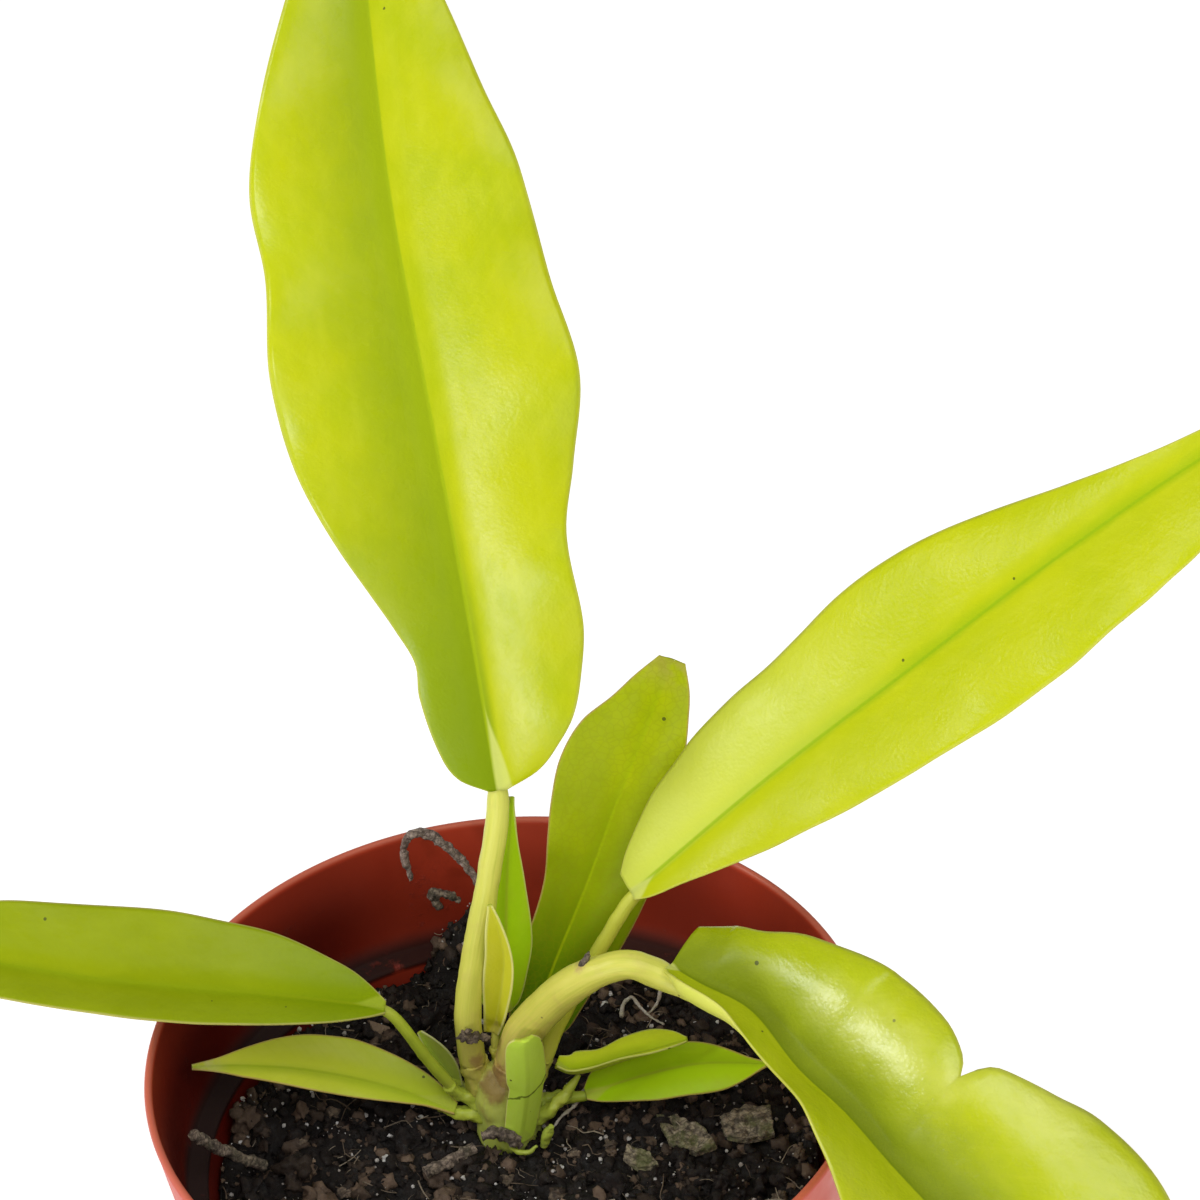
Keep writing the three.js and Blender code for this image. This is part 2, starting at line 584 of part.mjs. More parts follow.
function soilHeight(x, y) {
  const rise = (list) => list.reduce((sum, h) => sum + h.height * bump(x, y, h.at[0], h.at[1], h.reach), 0);
  const lumps = LUMPS.reduce((sum, [size, perX, perY]) => sum + size * Math.sin(perX * x + perY * y), 0);
  const beds = Object.values(CHIPS).map((chip) => bump(x, y, chip.at[0], chip.at[1], CHIP_BED));
  const calm = Math.max(...beds, bump(x, y, CROWN_CENTRE[0], CROWN_CENTRE[1], CROWN_BED));
  return SOIL_LEVEL + lumps * (1 - Math.min(1, BED_EDGE * calm)) + rise(SOIL_HILLS);
}

function soil() {
  const vertices = [];
  const triangles = [];
  const topRadius = wallRadius(SOIL_LEVEL - SOIL_DIP) - SOIL_GAP;
  const side = [
    { radius: wallRadius(FLOOR) - SOIL_GAP - SOIL_CHAMFER, z: FLOOR + SEAT_GAP },
    { radius: wallRadius(FLOOR + SOIL_CHAMFER) - SOIL_GAP, z: FLOOR + SOIL_CHAMFER },
  ];
  const ring = (radius, height) => {
    for (let k = 0; k < SOIL_SECTORS; k += 1) {
      const turn = (2 * Math.PI * k) / SOIL_SECTORS;
      const x = radius * Math.cos(turn);
      const y = radius * Math.sin(turn);
      vertices.push(new THREE.Vector3(x, y, height(x, y)));
    }
  };
  side.forEach((level) => ring(level.radius, () => level.z));
  for (let i = 0; i < SOIL_RINGS; i += 1) {
    ring((topRadius * (SOIL_RINGS - i)) / SOIL_RINGS, soilHeight);
  }
  const foot = vertices.push(new THREE.Vector3(0, 0, side[0].z)) - 1;
  const head = vertices.push(new THREE.Vector3(0, 0, soilHeight(0, 0))) - 1;
  const count = side.length + SOIL_RINGS;
  const at = (i, k) => i * SOIL_SECTORS + (k % SOIL_SECTORS);
  for (let k = 0; k < SOIL_SECTORS; k += 1) {
    triangles.push([foot, at(0, k + 1), at(0, k)], [head, at(count - 1, k), at(count - 1, k + 1)]);
    for (let i = 0; i < count - 1; i += 1) {
      triangles.push([at(i, k), at(i, k + 1), at(i + 1, k + 1)], [at(i, k), at(i + 1, k + 1), at(i + 1, k)]);
    }
  }
  const depth = 2 * (SOIL_LEVEL - STEM_FOOT);
  const hole = new THREE.CylinderGeometry(STEM_HOLE_RADIUS, STEM_HOLE_RADIUS, depth, STEM_SIDES);
  hole.rotateX(Math.PI / 2);
  hole.translate(CROWN_CENTRE[0], CROWN_CENTRE[1], STEM_FOOT - SEAT_GAP + depth / 2);
  return fromSolid(toSolid(closedGeometry(vertices, triangles)).subtract(toSolid(hole)));
}

function chip(record) {
  const [atX, atY] = record.at;
  const turn = THREE.MathUtils.degToRad(record.turn);
  const middle = new THREE.Vector2();
  const outline = record.outline.map(([x, y]) => new THREE.Vector2(x, y).rotateAround(middle, turn));
  const shape = new THREE.Shape(outline);
  const geometry = new THREE.ExtrudeGeometry(shape, { depth: CHIP_THICKNESS, bevelEnabled: false });
  const heights = (part) => outline.map(({ x, y }) => soilHeight(atX + part * x, atY + part * y));
  geometry.translate(atX, atY, Math.max(...heights(1), ...heights(0.5), ...heights(0)) + CHIP_LIFT);
  return geometry;
}

function twig(record) {
  return tube(record.path.map(([x, y, over]) => [x, y, soilHeight(x, y) + over, record.radius]), 8, 6);
}

function dryRoot([first, ...rest]) {
  const [x, y, over, radius] = first;
  return tube([[x, y, soilHeight(x, y) + over, radius], ...rest], 8, 20);
}

// The short stem under the soil and the rounded top that the stalks grow from
function stem() {
  const [x, y] = CROWN_CENTRE;
  const path = [
    [x, y, STEM_FOOT, STEM_RADIUS - 0.5], [x, y, STEM_FOOT + 4, STEM_RADIUS],
    [x, y, 76, STEM_RADIUS], [x - 0.6, y, 80, 3.4], [x - 0.8, y, 82, 2],
  ];
  return toSolid(tube(path, STEM_SIDES, 8));
}

const group = new THREE.Group();

function place(name, geometry, color, roughness) {
  const mesh = new THREE.Mesh(geometry, new THREE.MeshStandardMaterial({ color, roughness, metalness: 0 }));
  mesh.name = name;
  group.add(mesh);
}

place("pot", pot(), 0xa8412c, 0.5);
place("soil", soil(), 0x2a1d16, 1);

const crownBall = ball(CROWN_RADIUS);
const clearBall = ball(CROWN_RADIUS + SEAT_GAP);
let crown = stem();
for (const [name, leaf] of Object.entries(LEAVES)) {
  const whole = organ(leaf);
  crown = crown.add(whole.intersect(crownBall));
  place(name, fromSolid(whole.subtract(clearBall)), leaf.color, 0.35);
}
place("crown", fromSolid(crown.simplify(CROWN_DETAIL)), 0xb5b13a, 0.5);

for (const [name, record] of Object.entries(CHIPS)) {
  place(name, chip(record), 0x4a4030, 1);
}
for (const [name, record] of Object.entries(TWIGS)) {
  place(name, twig(record), 0x3f3427, 1);
}
place("dry_root", dryRoot(DRY_ROOT), 0x3b2f27, 1);

export default group;
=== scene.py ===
# A young lime philodendron in a brick-red nursery pot, dressed over its CAD frame.
# Shapes are worked out in millimetres and put into the meshes in metres. +Z is up.
import json
import math
import random

import bmesh
import bpy
import numpy as np
from mathutils import Matrix, Vector, noise

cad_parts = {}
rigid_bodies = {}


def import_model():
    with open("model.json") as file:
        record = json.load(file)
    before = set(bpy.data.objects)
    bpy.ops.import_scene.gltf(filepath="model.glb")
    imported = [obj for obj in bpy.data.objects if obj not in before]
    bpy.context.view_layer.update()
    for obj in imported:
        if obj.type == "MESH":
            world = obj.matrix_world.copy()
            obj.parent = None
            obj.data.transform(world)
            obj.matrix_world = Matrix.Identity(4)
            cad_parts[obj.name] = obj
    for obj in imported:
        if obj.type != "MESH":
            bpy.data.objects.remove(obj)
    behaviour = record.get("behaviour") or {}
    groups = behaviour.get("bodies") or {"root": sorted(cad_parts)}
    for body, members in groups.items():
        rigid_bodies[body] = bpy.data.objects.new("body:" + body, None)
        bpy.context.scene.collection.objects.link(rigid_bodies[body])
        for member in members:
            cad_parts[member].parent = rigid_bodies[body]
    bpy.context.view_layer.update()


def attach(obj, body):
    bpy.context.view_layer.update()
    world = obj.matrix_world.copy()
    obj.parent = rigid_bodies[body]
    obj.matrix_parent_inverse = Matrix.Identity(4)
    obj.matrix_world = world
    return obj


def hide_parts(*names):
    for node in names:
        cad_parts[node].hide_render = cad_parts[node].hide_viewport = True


mm = 0.001
tau = 2 * math.pi

print("frame and camera")
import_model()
scene = bpy.context.scene

photoCamera = {
    "position": (18.275, -529.344, 585.934),
    "lookDown": 37.95,
    "roll": -4.2575,
    "lens": 150,
    "sensor": 36,
}


def placeCamera(values):
    down, roll = math.radians(values["lookDown"]), math.radians(values["roll"])
    forward = Vector((0, math.cos(down), -math.sin(down)))
    level = Vector((1, 0, 0))
    upright = level.cross(forward)
    right = level * math.cos(roll) + upright * math.sin(roll)
    up = upright * math.cos(roll) - level * math.sin(roll)
    data = bpy.data.cameras.new("photo_camera")
    data.lens, data.sensor_width = values["lens"], values["sensor"]
    data.clip_start, data.clip_end = 0.01, 20
    camera = bpy.data.objects.new("photo_camera", data)
    turn = Matrix((right, up, -forward)).transposed().to_4x4()
    camera.matrix_world = Matrix.Translation(Vector(values["position"]) * mm) @ turn
    scene.collection.objects.link(camera)
    scene.camera = camera


placeCamera(photoCamera)


floatKind, vectorKind = "NodeSocketFloat", "NodeSocketVector"


# A node tree, with short calls that fill it
class Nodes:
    def __init__(self, tree):
        self.tree = tree

    def join(self, value, socket):
        if isinstance(value, bpy.types.NodeSocket):
            self.tree.links.new(value, socket)
        else:
            socket.default_value = value

    def put(self, kind, inputs=None, **settings):
        node = self.tree.nodes.new(kind)
        for name, value in settings.items():
            setattr(node, name, value)
        for name, value in (inputs or {}).items():
            self.join(value, node.inputs[name])
        return node

    def calc(self, operation, *values, clamp=False):
        inputs = dict(enumerate(values))
        return self.put("ShaderNodeMath", inputs, operation=operation, use_clamp=clamp).outputs[0]

    def times(self, *values):
        product = values[0]
        for value in values[1:]:
            product = self.calc("MULTIPLY", product, value)
        return product

    def spread(self, value, low, high, toLow=0.0, toHigh=1.0):
        inputs = {"Value": value, "From Min": low, "From Max": high, "To Min": toLow, "To Max": toHigh}
        return self.put("ShaderNodeMapRange", inputs, interpolation_type="SMOOTHSTEP").outputs[0]

    def noise(self, vector, size, detail=3.0, rough=0.55, stretch=None):
        if stretch:
            vector = self.put("ShaderNodeMapping", {"Vector": vector, "Scale": stretch}).outputs[0]
        inputs = {"Vector": vector, "Scale": 1 / size, "Detail": detail, "Roughness": rough}
        return self.put("ShaderNodeTexNoise", inputs).outputs["Fac"]

    def use(self, group, **inputs):
        return self.put("ShaderNodeGroup", inputs, node_tree=group)


def newGroup(kind, name, inputs, outputs):
    tree = bpy.data.node_groups.new(name, kind)
    for way, sockets in (("INPUT", inputs), ("OUTPUT", outputs)):
        for label, socket in sockets.items():
            tree.interface.new_socket(label, in_out=way, socket_type=socket)
    return Nodes(tree), tree.nodes.new("NodeGroupInput").outputs, tree.nodes.new("NodeGroupOutput").inputs


# Side veins that leave the midrib at a slant: a coarse set, and a fainter, patchy fine set between them
def makeVeinGroup():
    ink, take, out = newGroup(
        "ShaderNodeTree", "side_veins",
        {"Grain": vectorKind, "Spacing": floatKind, "Slant": floatKind},
        {"Lines": floatKind, "Height": floatKind},
    )
    across, run, _ = ink.put("ShaderNodeSeparateXYZ", {0: take["Grain"]}).outputs
    side = ink.calc("ABSOLUTE", across)
    run = ink.calc("SUBTRACT", run, ink.times(side, take["Slant"]))
    run = ink.calc("ADD", run, ink.times(ink.noise(take["Grain"], 9, 2), 2.2))

    def lines(spacing, sharp):
        wave = ink.calc("SINE", ink.calc("DIVIDE", ink.times(run, tau), spacing))
        return ink.calc("POWER", ink.calc("MULTIPLY_ADD", wave, 0.5, 0.5), sharp)

    coarse = lines(take["Spacing"], 7.0)
    fine = lines(ink.times(take["Spacing"], 0.17), 2.0)
    patchy = ink.spread(ink.noise(take["Grain"], 4, 4), 0.35, 0.7, 0.15, 1.0)
    fine = ink.times(fine, patchy)
    away = ink.spread(side, 0.6, 3.0)
    both = ink.calc("MULTIPLY_ADD", coarse, 0.5, ink.times(fine, 0.5))
    ink.join(ink.times(both, away), out["Lines"])
    raised = ink.calc("MULTIPLY_ADD", coarse, 0.5, ink.times(fine, 0.14))
    ink.join(ink.times(raised, away), out["Height"])
    return ink.tree


# Fine leathery skin: small shallow cells with a finer grain on them
def makeSkinGroup():
    ink, take, out = newGroup(
        "ShaderNodeTree", "leathery_skin", {"Vector": vectorKind, "Size": floatKind}, {"Height": floatKind}
    )
    scale = ink.calc("DIVIDE", 1.0, take["Size"])
    cells = ink.put("ShaderNodeTexVoronoi", {"Vector": take["Vector"], "Scale": scale})
    finer = {"Vector": take["Vector"], "Scale": ink.times(scale, 0.8), "Detail": 5.0}
    grain = ink.put("ShaderNodeTexNoise", finer).outputs["Fac"]
    ink.join(ink.calc("MULTIPLY_ADD", cells.outputs["Distance"], -0.5, grain), out["Height"])
    return ink.tree


# Scattered dark specks of different sizes
def makeSpeckGroup():
    ink, take, out = newGroup(
        "ShaderNodeTree", "specks", {"Vector": vectorKind, "Apart": floatKind, "Share": floatKind},
        {"Mask": floatKind},
    )
    scale = ink.calc("DIVIDE", 1.0, take["Apart"])
    cell = ink.put("ShaderNodeTexVoronoi", {"Vector": take["Vector"], "Scale": scale})
    pick = ink.put("ShaderNodeSeparateColor", {0: cell.outputs["Color"]})
    chosen = ink.calc("LESS_THAN", pick.outputs[0], take["Share"])
    reach = ink.calc("MULTIPLY_ADD", pick.outputs[1], 0.1, 0.05)
    dot = ink.calc("LESS_THAN", cell.outputs["Distance"], reach)
    ink.join(ink.times(chosen, dot), out["Mask"])
    return ink.tree


veinGroup = makeVeinGroup()
skinGroup = makeSkinGroup()
speckGroup = makeSpeckGroup()


# A material that is built up by tinting one colour over another
class Ink(Nodes):
    def __init__(self, name, color):
        self.material = bpy.data.materials.new(name)
        self.material.use_nodes = True
        super().__init__(self.material.node_tree)
        self.shader = self.tree.nodes["Principled BSDF"]
        self.place = self.tree.nodes.new("ShaderNodeTexCoord").outputs["Object"]
        self.color = (*color, 1)

    def give(self, name, value):
        self.join(value, self.shader.inputs[name])

    def attribute(self, name, output="Vector"):
        return self.put("ShaderNodeAttribute", attribute_name=name).outputs[output]

    def mottle(self, size, detail, rough=0.55):
        return self.noise(self.place, size * mm, detail, rough)

    def tint(self, color, *masks):
        node = self.put("ShaderNodeMix", {"Factor": self.times(*masks)}, data_type="RGBA")
        self.join(self.color, node.inputs[6])
        self.join((*color, 1), node.inputs[7])
        self.color = node.outputs[2]

    # Stains and patches of painted sheen: spot in mm, reach in mm, colour, strength. They fade between outer
    # and inner times their reach.
    def stain(self, marks, outer=1.5, inner=1.0):
        for spot, reach, color, show in marks:
            middle = tuple(v * mm for v in spot)
            away = self.put("ShaderNodeVectorMath", {0: self.place, 1: middle}, operation="DISTANCE")
            ragged = self.mottle(0.5 * reach, 4)
            ragged = self.calc("MULTIPLY_ADD", ragged, reach * mm, away.outputs["Value"])
            self.tint(color, self.spread(ragged, outer * reach * mm, inner * reach * mm), show)

    def bump(self, heights):
        normal = None
        for height, depth in heights:
            inputs = {"Height": height, "Distance": depth * mm, "Strength": 1.0}
            if normal is not None:
                inputs["Normal"] = normal
            normal = self.put("ShaderNodeBump", inputs).outputs[0]
        self.give("Normal", normal)

    def glow(self, weight, radius, size):
        self.give("Subsurface Weight", weight)
        self.give("Subsurface Radius", radius)
        self.give("Subsurface Scale", size * mm)

    def finish(self):
        self.give("Base Color", self.color)
        return self.material


# The upper face of a blade. Grain is (mm from the rib, mm along it), inset is mm from the edge.
def makeBladeMaterial(name, look):
    ink = Ink(name, look["color"])
    grain = ink.attribute("grain")
    inset = ink.attribute("inset", "Fac")
    share = ink.attribute("share", "Fac")
    across, run, _ = ink.put("ShaderNodeSeparateXYZ", {0: grain}).outputs
    side = ink.calc("ABSOLUTE", across)
    veins = ink.use(veinGroup, Grain=grain, Spacing=look["veinSpacing"], Slant=look["veinSlant"])
    skin = ink.use(skinGroup, Vector=ink.place, Size=look["skin"] * mm)
    ink.tint(look["second"], ink.spread(ink.mottle(16, 3), 0.35, 0.68))
    streaks = ink.spread(ink.noise(grain, 2.4, 3, stretch=(1.0, 0.35, 1.0)), 0.4, 0.75)
    ink.tint(look["pale"], streaks, 0.22)
    ink.tint(look["vein"], veins.outputs["Lines"], look["veinShow"])
    # Painted shade: a darker green beside the rib where the halves fold, reaching further over the left half,
    # in place of the shade in the crease.
    width = look["valleyShadeWidth"]
    wander = ink.calc("MULTIPLY_ADD", ink.noise(grain, 9, 2), 0.5 * width, -0.25 * width)
    strayed = ink.calc("ADD", across, wander)
    left = ink.times(ink.spread(strayed, -width, -0.2), ink.spread(across, 0.3, 0.0))
    right = ink.times(ink.spread(strayed, 0.5 * width, 0.2), ink.spread(across, -0.3, 0.0))
    shade = ink.calc("MULTIPLY_ADD", right, look["valleyShadeRight"], ink.times(left, look["valleyShadeLeft"]))
    ink.tint(look["valleyShade"], shade)
    # Painted shade: darker towards the blade's foot, on the side that lowSide reaches; where the low colour
    # is pale, as on leaf_right, it is a painted sheen near the base.
    beside = ink.spread(across, look["lowSide"] + 1.5, look["lowSide"])
    ink.tint(look["low"], ink.spread(share, look["lowTo"], 0.0), look["lowShow"], beside)
    rib = ink.spread(side, look["ribWidth"], look["ribWidth"] * 0.3)
    ribFade = ink.spread(share, 1.0, 0.2, 0.2, 0.75)
    ink.tint(look["rib"], rib, ribFade)
    wedgeWidth = ink.spread(share, 0.0, look["wedgeLength"], 1.5, 0.0)
    aside = ink.calc("MULTIPLY_ADD", wedgeWidth, -look["wedgeShift"], across)
    wedge = ink.calc("SUBTRACT", wedgeWidth, ink.calc("ABSOLUTE", aside))
    ink.tint(look["wedge"], ink.spread(wedge, 0.0, 0.6, 0.0, 0.8))
    ink.tint(look["edge"], ink.spread(inset, look["edgeWidth"], 0.05), look["edgeShow"])
    ink.tint(look["tip"], ink.spread(share, look["tipFrom"], 1.0), ink.spread(ink.mottle(2.5, 3), 0.3, 0.6))
    cells = {"Vector": ink.place, "Scale": 1 / (1.1 * mm)}
    net = ink.put("ShaderNodeTexVoronoi", cells, feature="DISTANCE_TO_EDGE")
    ink.tint(look["net"], ink.spread(net.outputs["Distance"], 0.12, 0.0), look["netShow"])
    tearLine = ink.calc("MULTIPLY_ADD", across, 0.55, look["tearAt"])
    tearLine = ink.calc("MULTIPLY_ADD", ink.noise(grain, 1.5, 2), 1.4, tearLine)
    tear = ink.calc("ABSOLUTE", ink.calc("SUBTRACT", run, tearLine))
    ink.tint(look["tear"], ink.spread(tear, 0.32, 0.1), look["tearShow"])
    dots = ink.use(speckGroup, Vector=ink.place, Apart=2.6 * mm, Share=look["specks"])
    ink.tint((0.05, 0.06, 0.01), dots.outputs[0], 0.8)
    ink.stain(look["marks"])
    # Patches of painted sheen along the lit band of the blade.
    ink.stain(look["sheenPatches"], 2.0, 0.6)
    wax, crease = 1.3 * look["gloss"], look["glossCrease"]
    ink.give("Coat Weight", ink.times(
        ink.spread(share, 0.12, 0.5, wax, wax * look["glossFar"]),
        ink.spread(share, 0.02, look["glossFrom"], 0.2, 1.0),
        ink.spread(side, 1.0, crease, 0.05, 1.0),
        ink.spread(ink.noise(grain, 1.6, 4, 0.65, (1.0, 0.4, 1.0)), 0.3, 0.55, 0.45, 1.0),
    ))
    ink.give("Coat Roughness", look["rough"] + 0.02)
    rough = ink.spread(ink.mottle(5, 4), 0.3, 0.7, look["rough"] - 0.04, look["rough"] + 0.07)
    ink.give("Roughness", ink.calc("ADD", rough, ink.spread(side, crease, 0.4 * crease, 0.0, 0.45)))
    ink.give("Specular IOR Level", 0.4 * look["gloss"])
    ink.glow(look["glow"], (0.9, 1.0, 0.15), 1.6)
    broad = ink.noise(grain, 3.2, 3, stretch=(1.0, 0.6, 1.0))
    fine = (skin.outputs[0], look["skinDepth"])
    ink.bump([(broad, look["quilt"]), (veins.outputs["Height"], look["veinDepth"]), fine])
    return ink.finish()


# The under face of a blade: paler and dull
def makeUnderMaterial(name, look):
    ink = Ink(name, look["under"])
    grain = ink.attribute("grain")
    veins = ink.use(veinGroup, Grain=grain, Spacing=look["veinSpacing"], Slant=look["veinSlant"])
    side = ink.calc("ABSOLUTE", ink.put("ShaderNodeSeparateXYZ", {0: grain}).outputs[0])
    ink.tint(look["underSecond"], ink.spread(ink.mottle(9, 3), 0.3, 0.7))
    ink.tint(look["wedge"], veins.outputs["Lines"], 0.2)
    ink.tint(look["wedge"], ink.spread(side, 1.5, 0.7, 0.0, 0.8))
    margin = ink.spread(ink.attribute("inset", "Fac"), look["edgeWidth"], 0.05)
    ink.tint(look["edge"], margin, look["edgeShow"])
    ink.give("Roughness", 0.55)
    ink.give("Specular IOR Level", 0.35)
    ink.glow(look["glow"], (0.9, 1.0, 0.2), 1.6)
    ink.bump([(veins.outputs["Height"], 0.05), (ink.mottle(0.4, 4), 0.03)])
    return ink.finish()


# Stalks: colour runs from foot to top, with fine stripes along them
def makeStalkMaterial(name, look):
    ink = Ink(name, look["foot"])
    grain = ink.attribute("grain")
    share = ink.attribute("share", "Fac")
    ink.tint(look["middle"], ink.spread(share, look["blendFrom"], look["blendTo"]))
    ink.tint(look["top"], ink.spread(share, 0.55, 1.0))
    stripes = ink.noise(grain, 0.5, 3, stretch=(1.0, 1.0, 0.05))
    ink.tint(look["stripe"], ink.spread(stripes, 0.4, 0.68), 0.35)
    ink.tint(look["stain"], ink.spread(ink.mottle(3.5, 4), 0.5, 0.75), look["blotch"])
    dots = ink.use(speckGroup, Vector=ink.place, Apart=1.8 * mm, Share=look["specks"])
    ink.tint((0.12, 0.09, 0.03), dots.outputs[0], 0.7)
    ink.stain(look["marks"])
    ink.give("Roughness", look["rough"])
    ink.give("Specular IOR Level", 0.4)
    ink.glow(0.1, (1.0, 0.9, 0.3), 1.2)
    ribs = ink.noise(grain, 0.35, 2, stretch=(1.0, 1.0, 0.03))
    ink.bump([(ribs, 0.07), (ink.mottle(0.3, 3), 0.02)])
    return ink.finish()


def unit(vectors):
    return vectors / np.linalg.norm(vectors, axis=-1, keepdims=True)


def squareTo(vectors, along):
    return unit(vectors - (vectors * along).sum(-1, keepdims=True) * along)


# Paths: the same smooth curve as in the part's source, in millimetres
def densePath(points, count=240):
    knots = [np.array(p[:3], float) for p in points]
    last = len(knots) - 1
    spots = []
    for step in range(count + 1):
        at = last * step / count
        i = min(int(at), last - 1)
        w = at - i
        p1, p2 = knots[i], knots[i + 1]
        p0 = knots[i - 1] if i > 0 else 2 * p1 - p2
        p3 = knots[i + 2] if i + 2 <= last else 2 * p2 - p1
        d0, d1, d2 = (np.linalg.norm(b - a) ** 0.5 for a, b in ((p0, p1), (p1, p2), (p2, p3)))
        t1 = ((p1 - p0) / d0 - (p2 - p0) / (d0 + d1) + (p2 - p1) / d1) * d1
        t2 = ((p2 - p1) / d1 - (p3 - p1) / (d1 + d2) + (p3 - p2) / d2) * d1
        bend = 3 * (p2 - p1) - 2 * t1 - t2
        twist = 2 * (p1 - p2) + t1 + t2
        spots.append(p1 + t1 * w + bend * w * w + twist * w ** 3)
    spots = np.array(spots)
    lengths = np.r_[0, np.cumsum(np.linalg.norm(np.diff(spots, axis=0), axis=1))]
    knotShare = np.linspace(0, 1, count + 1)
    return {"spots": spots, "lengths": lengths, "whole": lengths[-1], "knotShare": knotShare}


def pathAt(path, shares):
    far = np.clip(shares, 0, 1) * path["whole"]
    return np.stack([np.interp(far, path["lengths"], path["spots"][:, c]) for c in range(3)], 1)


def pathAlong(path, shares, reach=0.004):
    return unit(pathAt(path, np.minimum(shares + reach, 1)) - pathAt(path, np.maximum(shares - reach, 0)))


def smoothTable(rows, shares, column=1):
    xs = np.array([row[0] for row in rows], float)
    ys = np.array([row[column] for row in rows], float)
    index = np.arange(len(xs))
    before, after = np.maximum(index - 1, 0), np.minimum(index + 1, len(xs) - 1)
    slopes = (ys[after] - ys[before]) / (xs[after] - xs[before])
    at = np.clip(shares, xs[0], xs[-1])
    i = np.clip(np.searchsorted(xs, at, side="right") - 1, 0, len(xs) - 2)
    span = xs[i + 1] - xs[i]
    w = (at - xs[i]) / span
    ma, mb = slopes[i] * span, slopes[i + 1] * span
    rise = ys[i + 1] - ys[i]
    return ys[i] + ma * w + (3 * rise - 2 * ma - mb) * w ** 2 + (ma + mb - 2 * rise) * w ** 3


# The way a blade's upper face looks at each share of the rib, at right angles to the rib
def facingAt(form, shares, along):
    return squareTo(np.stack([smoothTable(form["facing"], shares, c) for c in (1, 2, 3)], 1), along)


def bumpy(points, size, depth, seed=0.0):
    shift = Vector((seed * 7.3, seed * 3.1, seed * 5.7))
    return np.array([depth * noise.fractal(Vector(p) / size + shift, 1.0, 2.0, 4) for p in points])


def newMesh(name, points, faces):
    mesh = bpy.data.meshes.new(name)
    mesh.from_pydata([[v * mm for v in p] for p in points], [], faces)
    return mesh


def meshOf(shape, name):
    mesh = bpy.data.meshes.new(name)
    shape.to_mesh(mesh)
    shape.free()
    return mesh


def finishPiece(obj, nodes=()):
    if obj.name not in scene.collection.objects:
        scene.collection.objects.link(obj)
    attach(obj, "root")
    if nodes:
        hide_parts(*nodes)


# One object gathered from several closed bodies, with the values its materials read
class Piece:
    def __init__(self, name):
        self.name = name
        self.points, self.faces, self.slots, self.smooth = [], [], [], []
        self.values = {"grain": [], "inset": [], "share": []}

    def add(self, points, faces, slots=0, grain=None, inset=5.0, share=0.5, flat=()):
        start, count = len(self.points), len(points)
        self.points.extend(points.tolist())
        self.faces.extend([[start + i for i in face] for face in faces])
        self.slots.extend(np.broadcast_to(slots, len(faces)).tolist())
        self.smooth.extend([i not in flat for i in range(len(faces))])
        self.values["grain"].extend((points if grain is None else grain).tolist())
        self.values["inset"].extend(np.broadcast_to(inset, count).tolist())
        self.values["share"].extend(np.broadcast_to(share, count).tolist())

    def build(self, materials, nodes=()):
        mesh = newMesh(self.name, self.points, self.faces)
        for material in materials:
            mesh.materials.append(material)
        mesh.polygons.foreach_set("material_index", self.slots)
        mesh.polygons.foreach_set("use_smooth", self.smooth)
        for label, values in self.values.items():
            kind, field = ("FLOAT_VECTOR", "vector") if label == "grain" else ("FLOAT", "value")
            layer = mesh.attributes.new(label, kind, "POINT")
            layer.data.foreach_set(field, np.array(values, float).ravel())
        mesh.validate()
        mesh.update()
        finishPiece(bpy.data.objects.new(self.name, mesh), nodes)


# A closed tube along a path. Rough is (size, depth) of the bumps on it, in mm.
def tubeBody(path, radii, sides, steps, rough=None, seed=0.0, start=0.0, end=1.0):
    shares = np.linspace(start, end, steps + 1)
    middle, along = pathAt(path, shares), pathAlong(path, shares)
    radius = smoothTable(radii, np.interp(shares * path["whole"], path["lengths"], path["knotShare"]))
    normal = unit(np.cross(along[0], [0.3, 0.2, 1.0]))
    turns = np.arange(sides) * tau / sides
    cosines, sines = np.cos(turns), np.sin(turns)
    rings, grains = [], []
    for i in range(steps + 1):
        normal = squareTo(normal, along[i])
        spokes = cosines[:, None] * normal + sines[:, None] * np.cross(along[i], normal)
        ring = middle[i] + radius[i] * spokes
        if rough:
            ring = ring + spokes * bumpy(ring, *rough, seed)[:, None]
        rings.append(ring)
        far = np.full(sides, shares[i] * path["whole"])
        grains.append(np.stack([radius[i] * cosines, radius[i] * sines, far], 1))
    caps = np.zeros((1, 3))
    faces = []
    for i in range(steps):
        for k in range(sides):
            a, b = i * sides + k, i * sides + (k + 1) % sides
            faces.append([a, b, b + sides, a + sides])
    wall, foot = len(faces), (steps + 1) * sides
    for k in range(sides):
        faces.append([foot, (k + 1) % sides, k])
        faces.append([foot + 1, steps * sides + k, steps * sides + (k + 1) % sides])
    return {
        "points": np.concatenate([*rings, middle[:1], middle[-1:]]), "faces": faces,
        "grain": np.concatenate([*grains, caps, caps]), "share": np.r_[np.repeat(shares, sides), start, end],
        "flat": range(wall, len(faces)),
    }


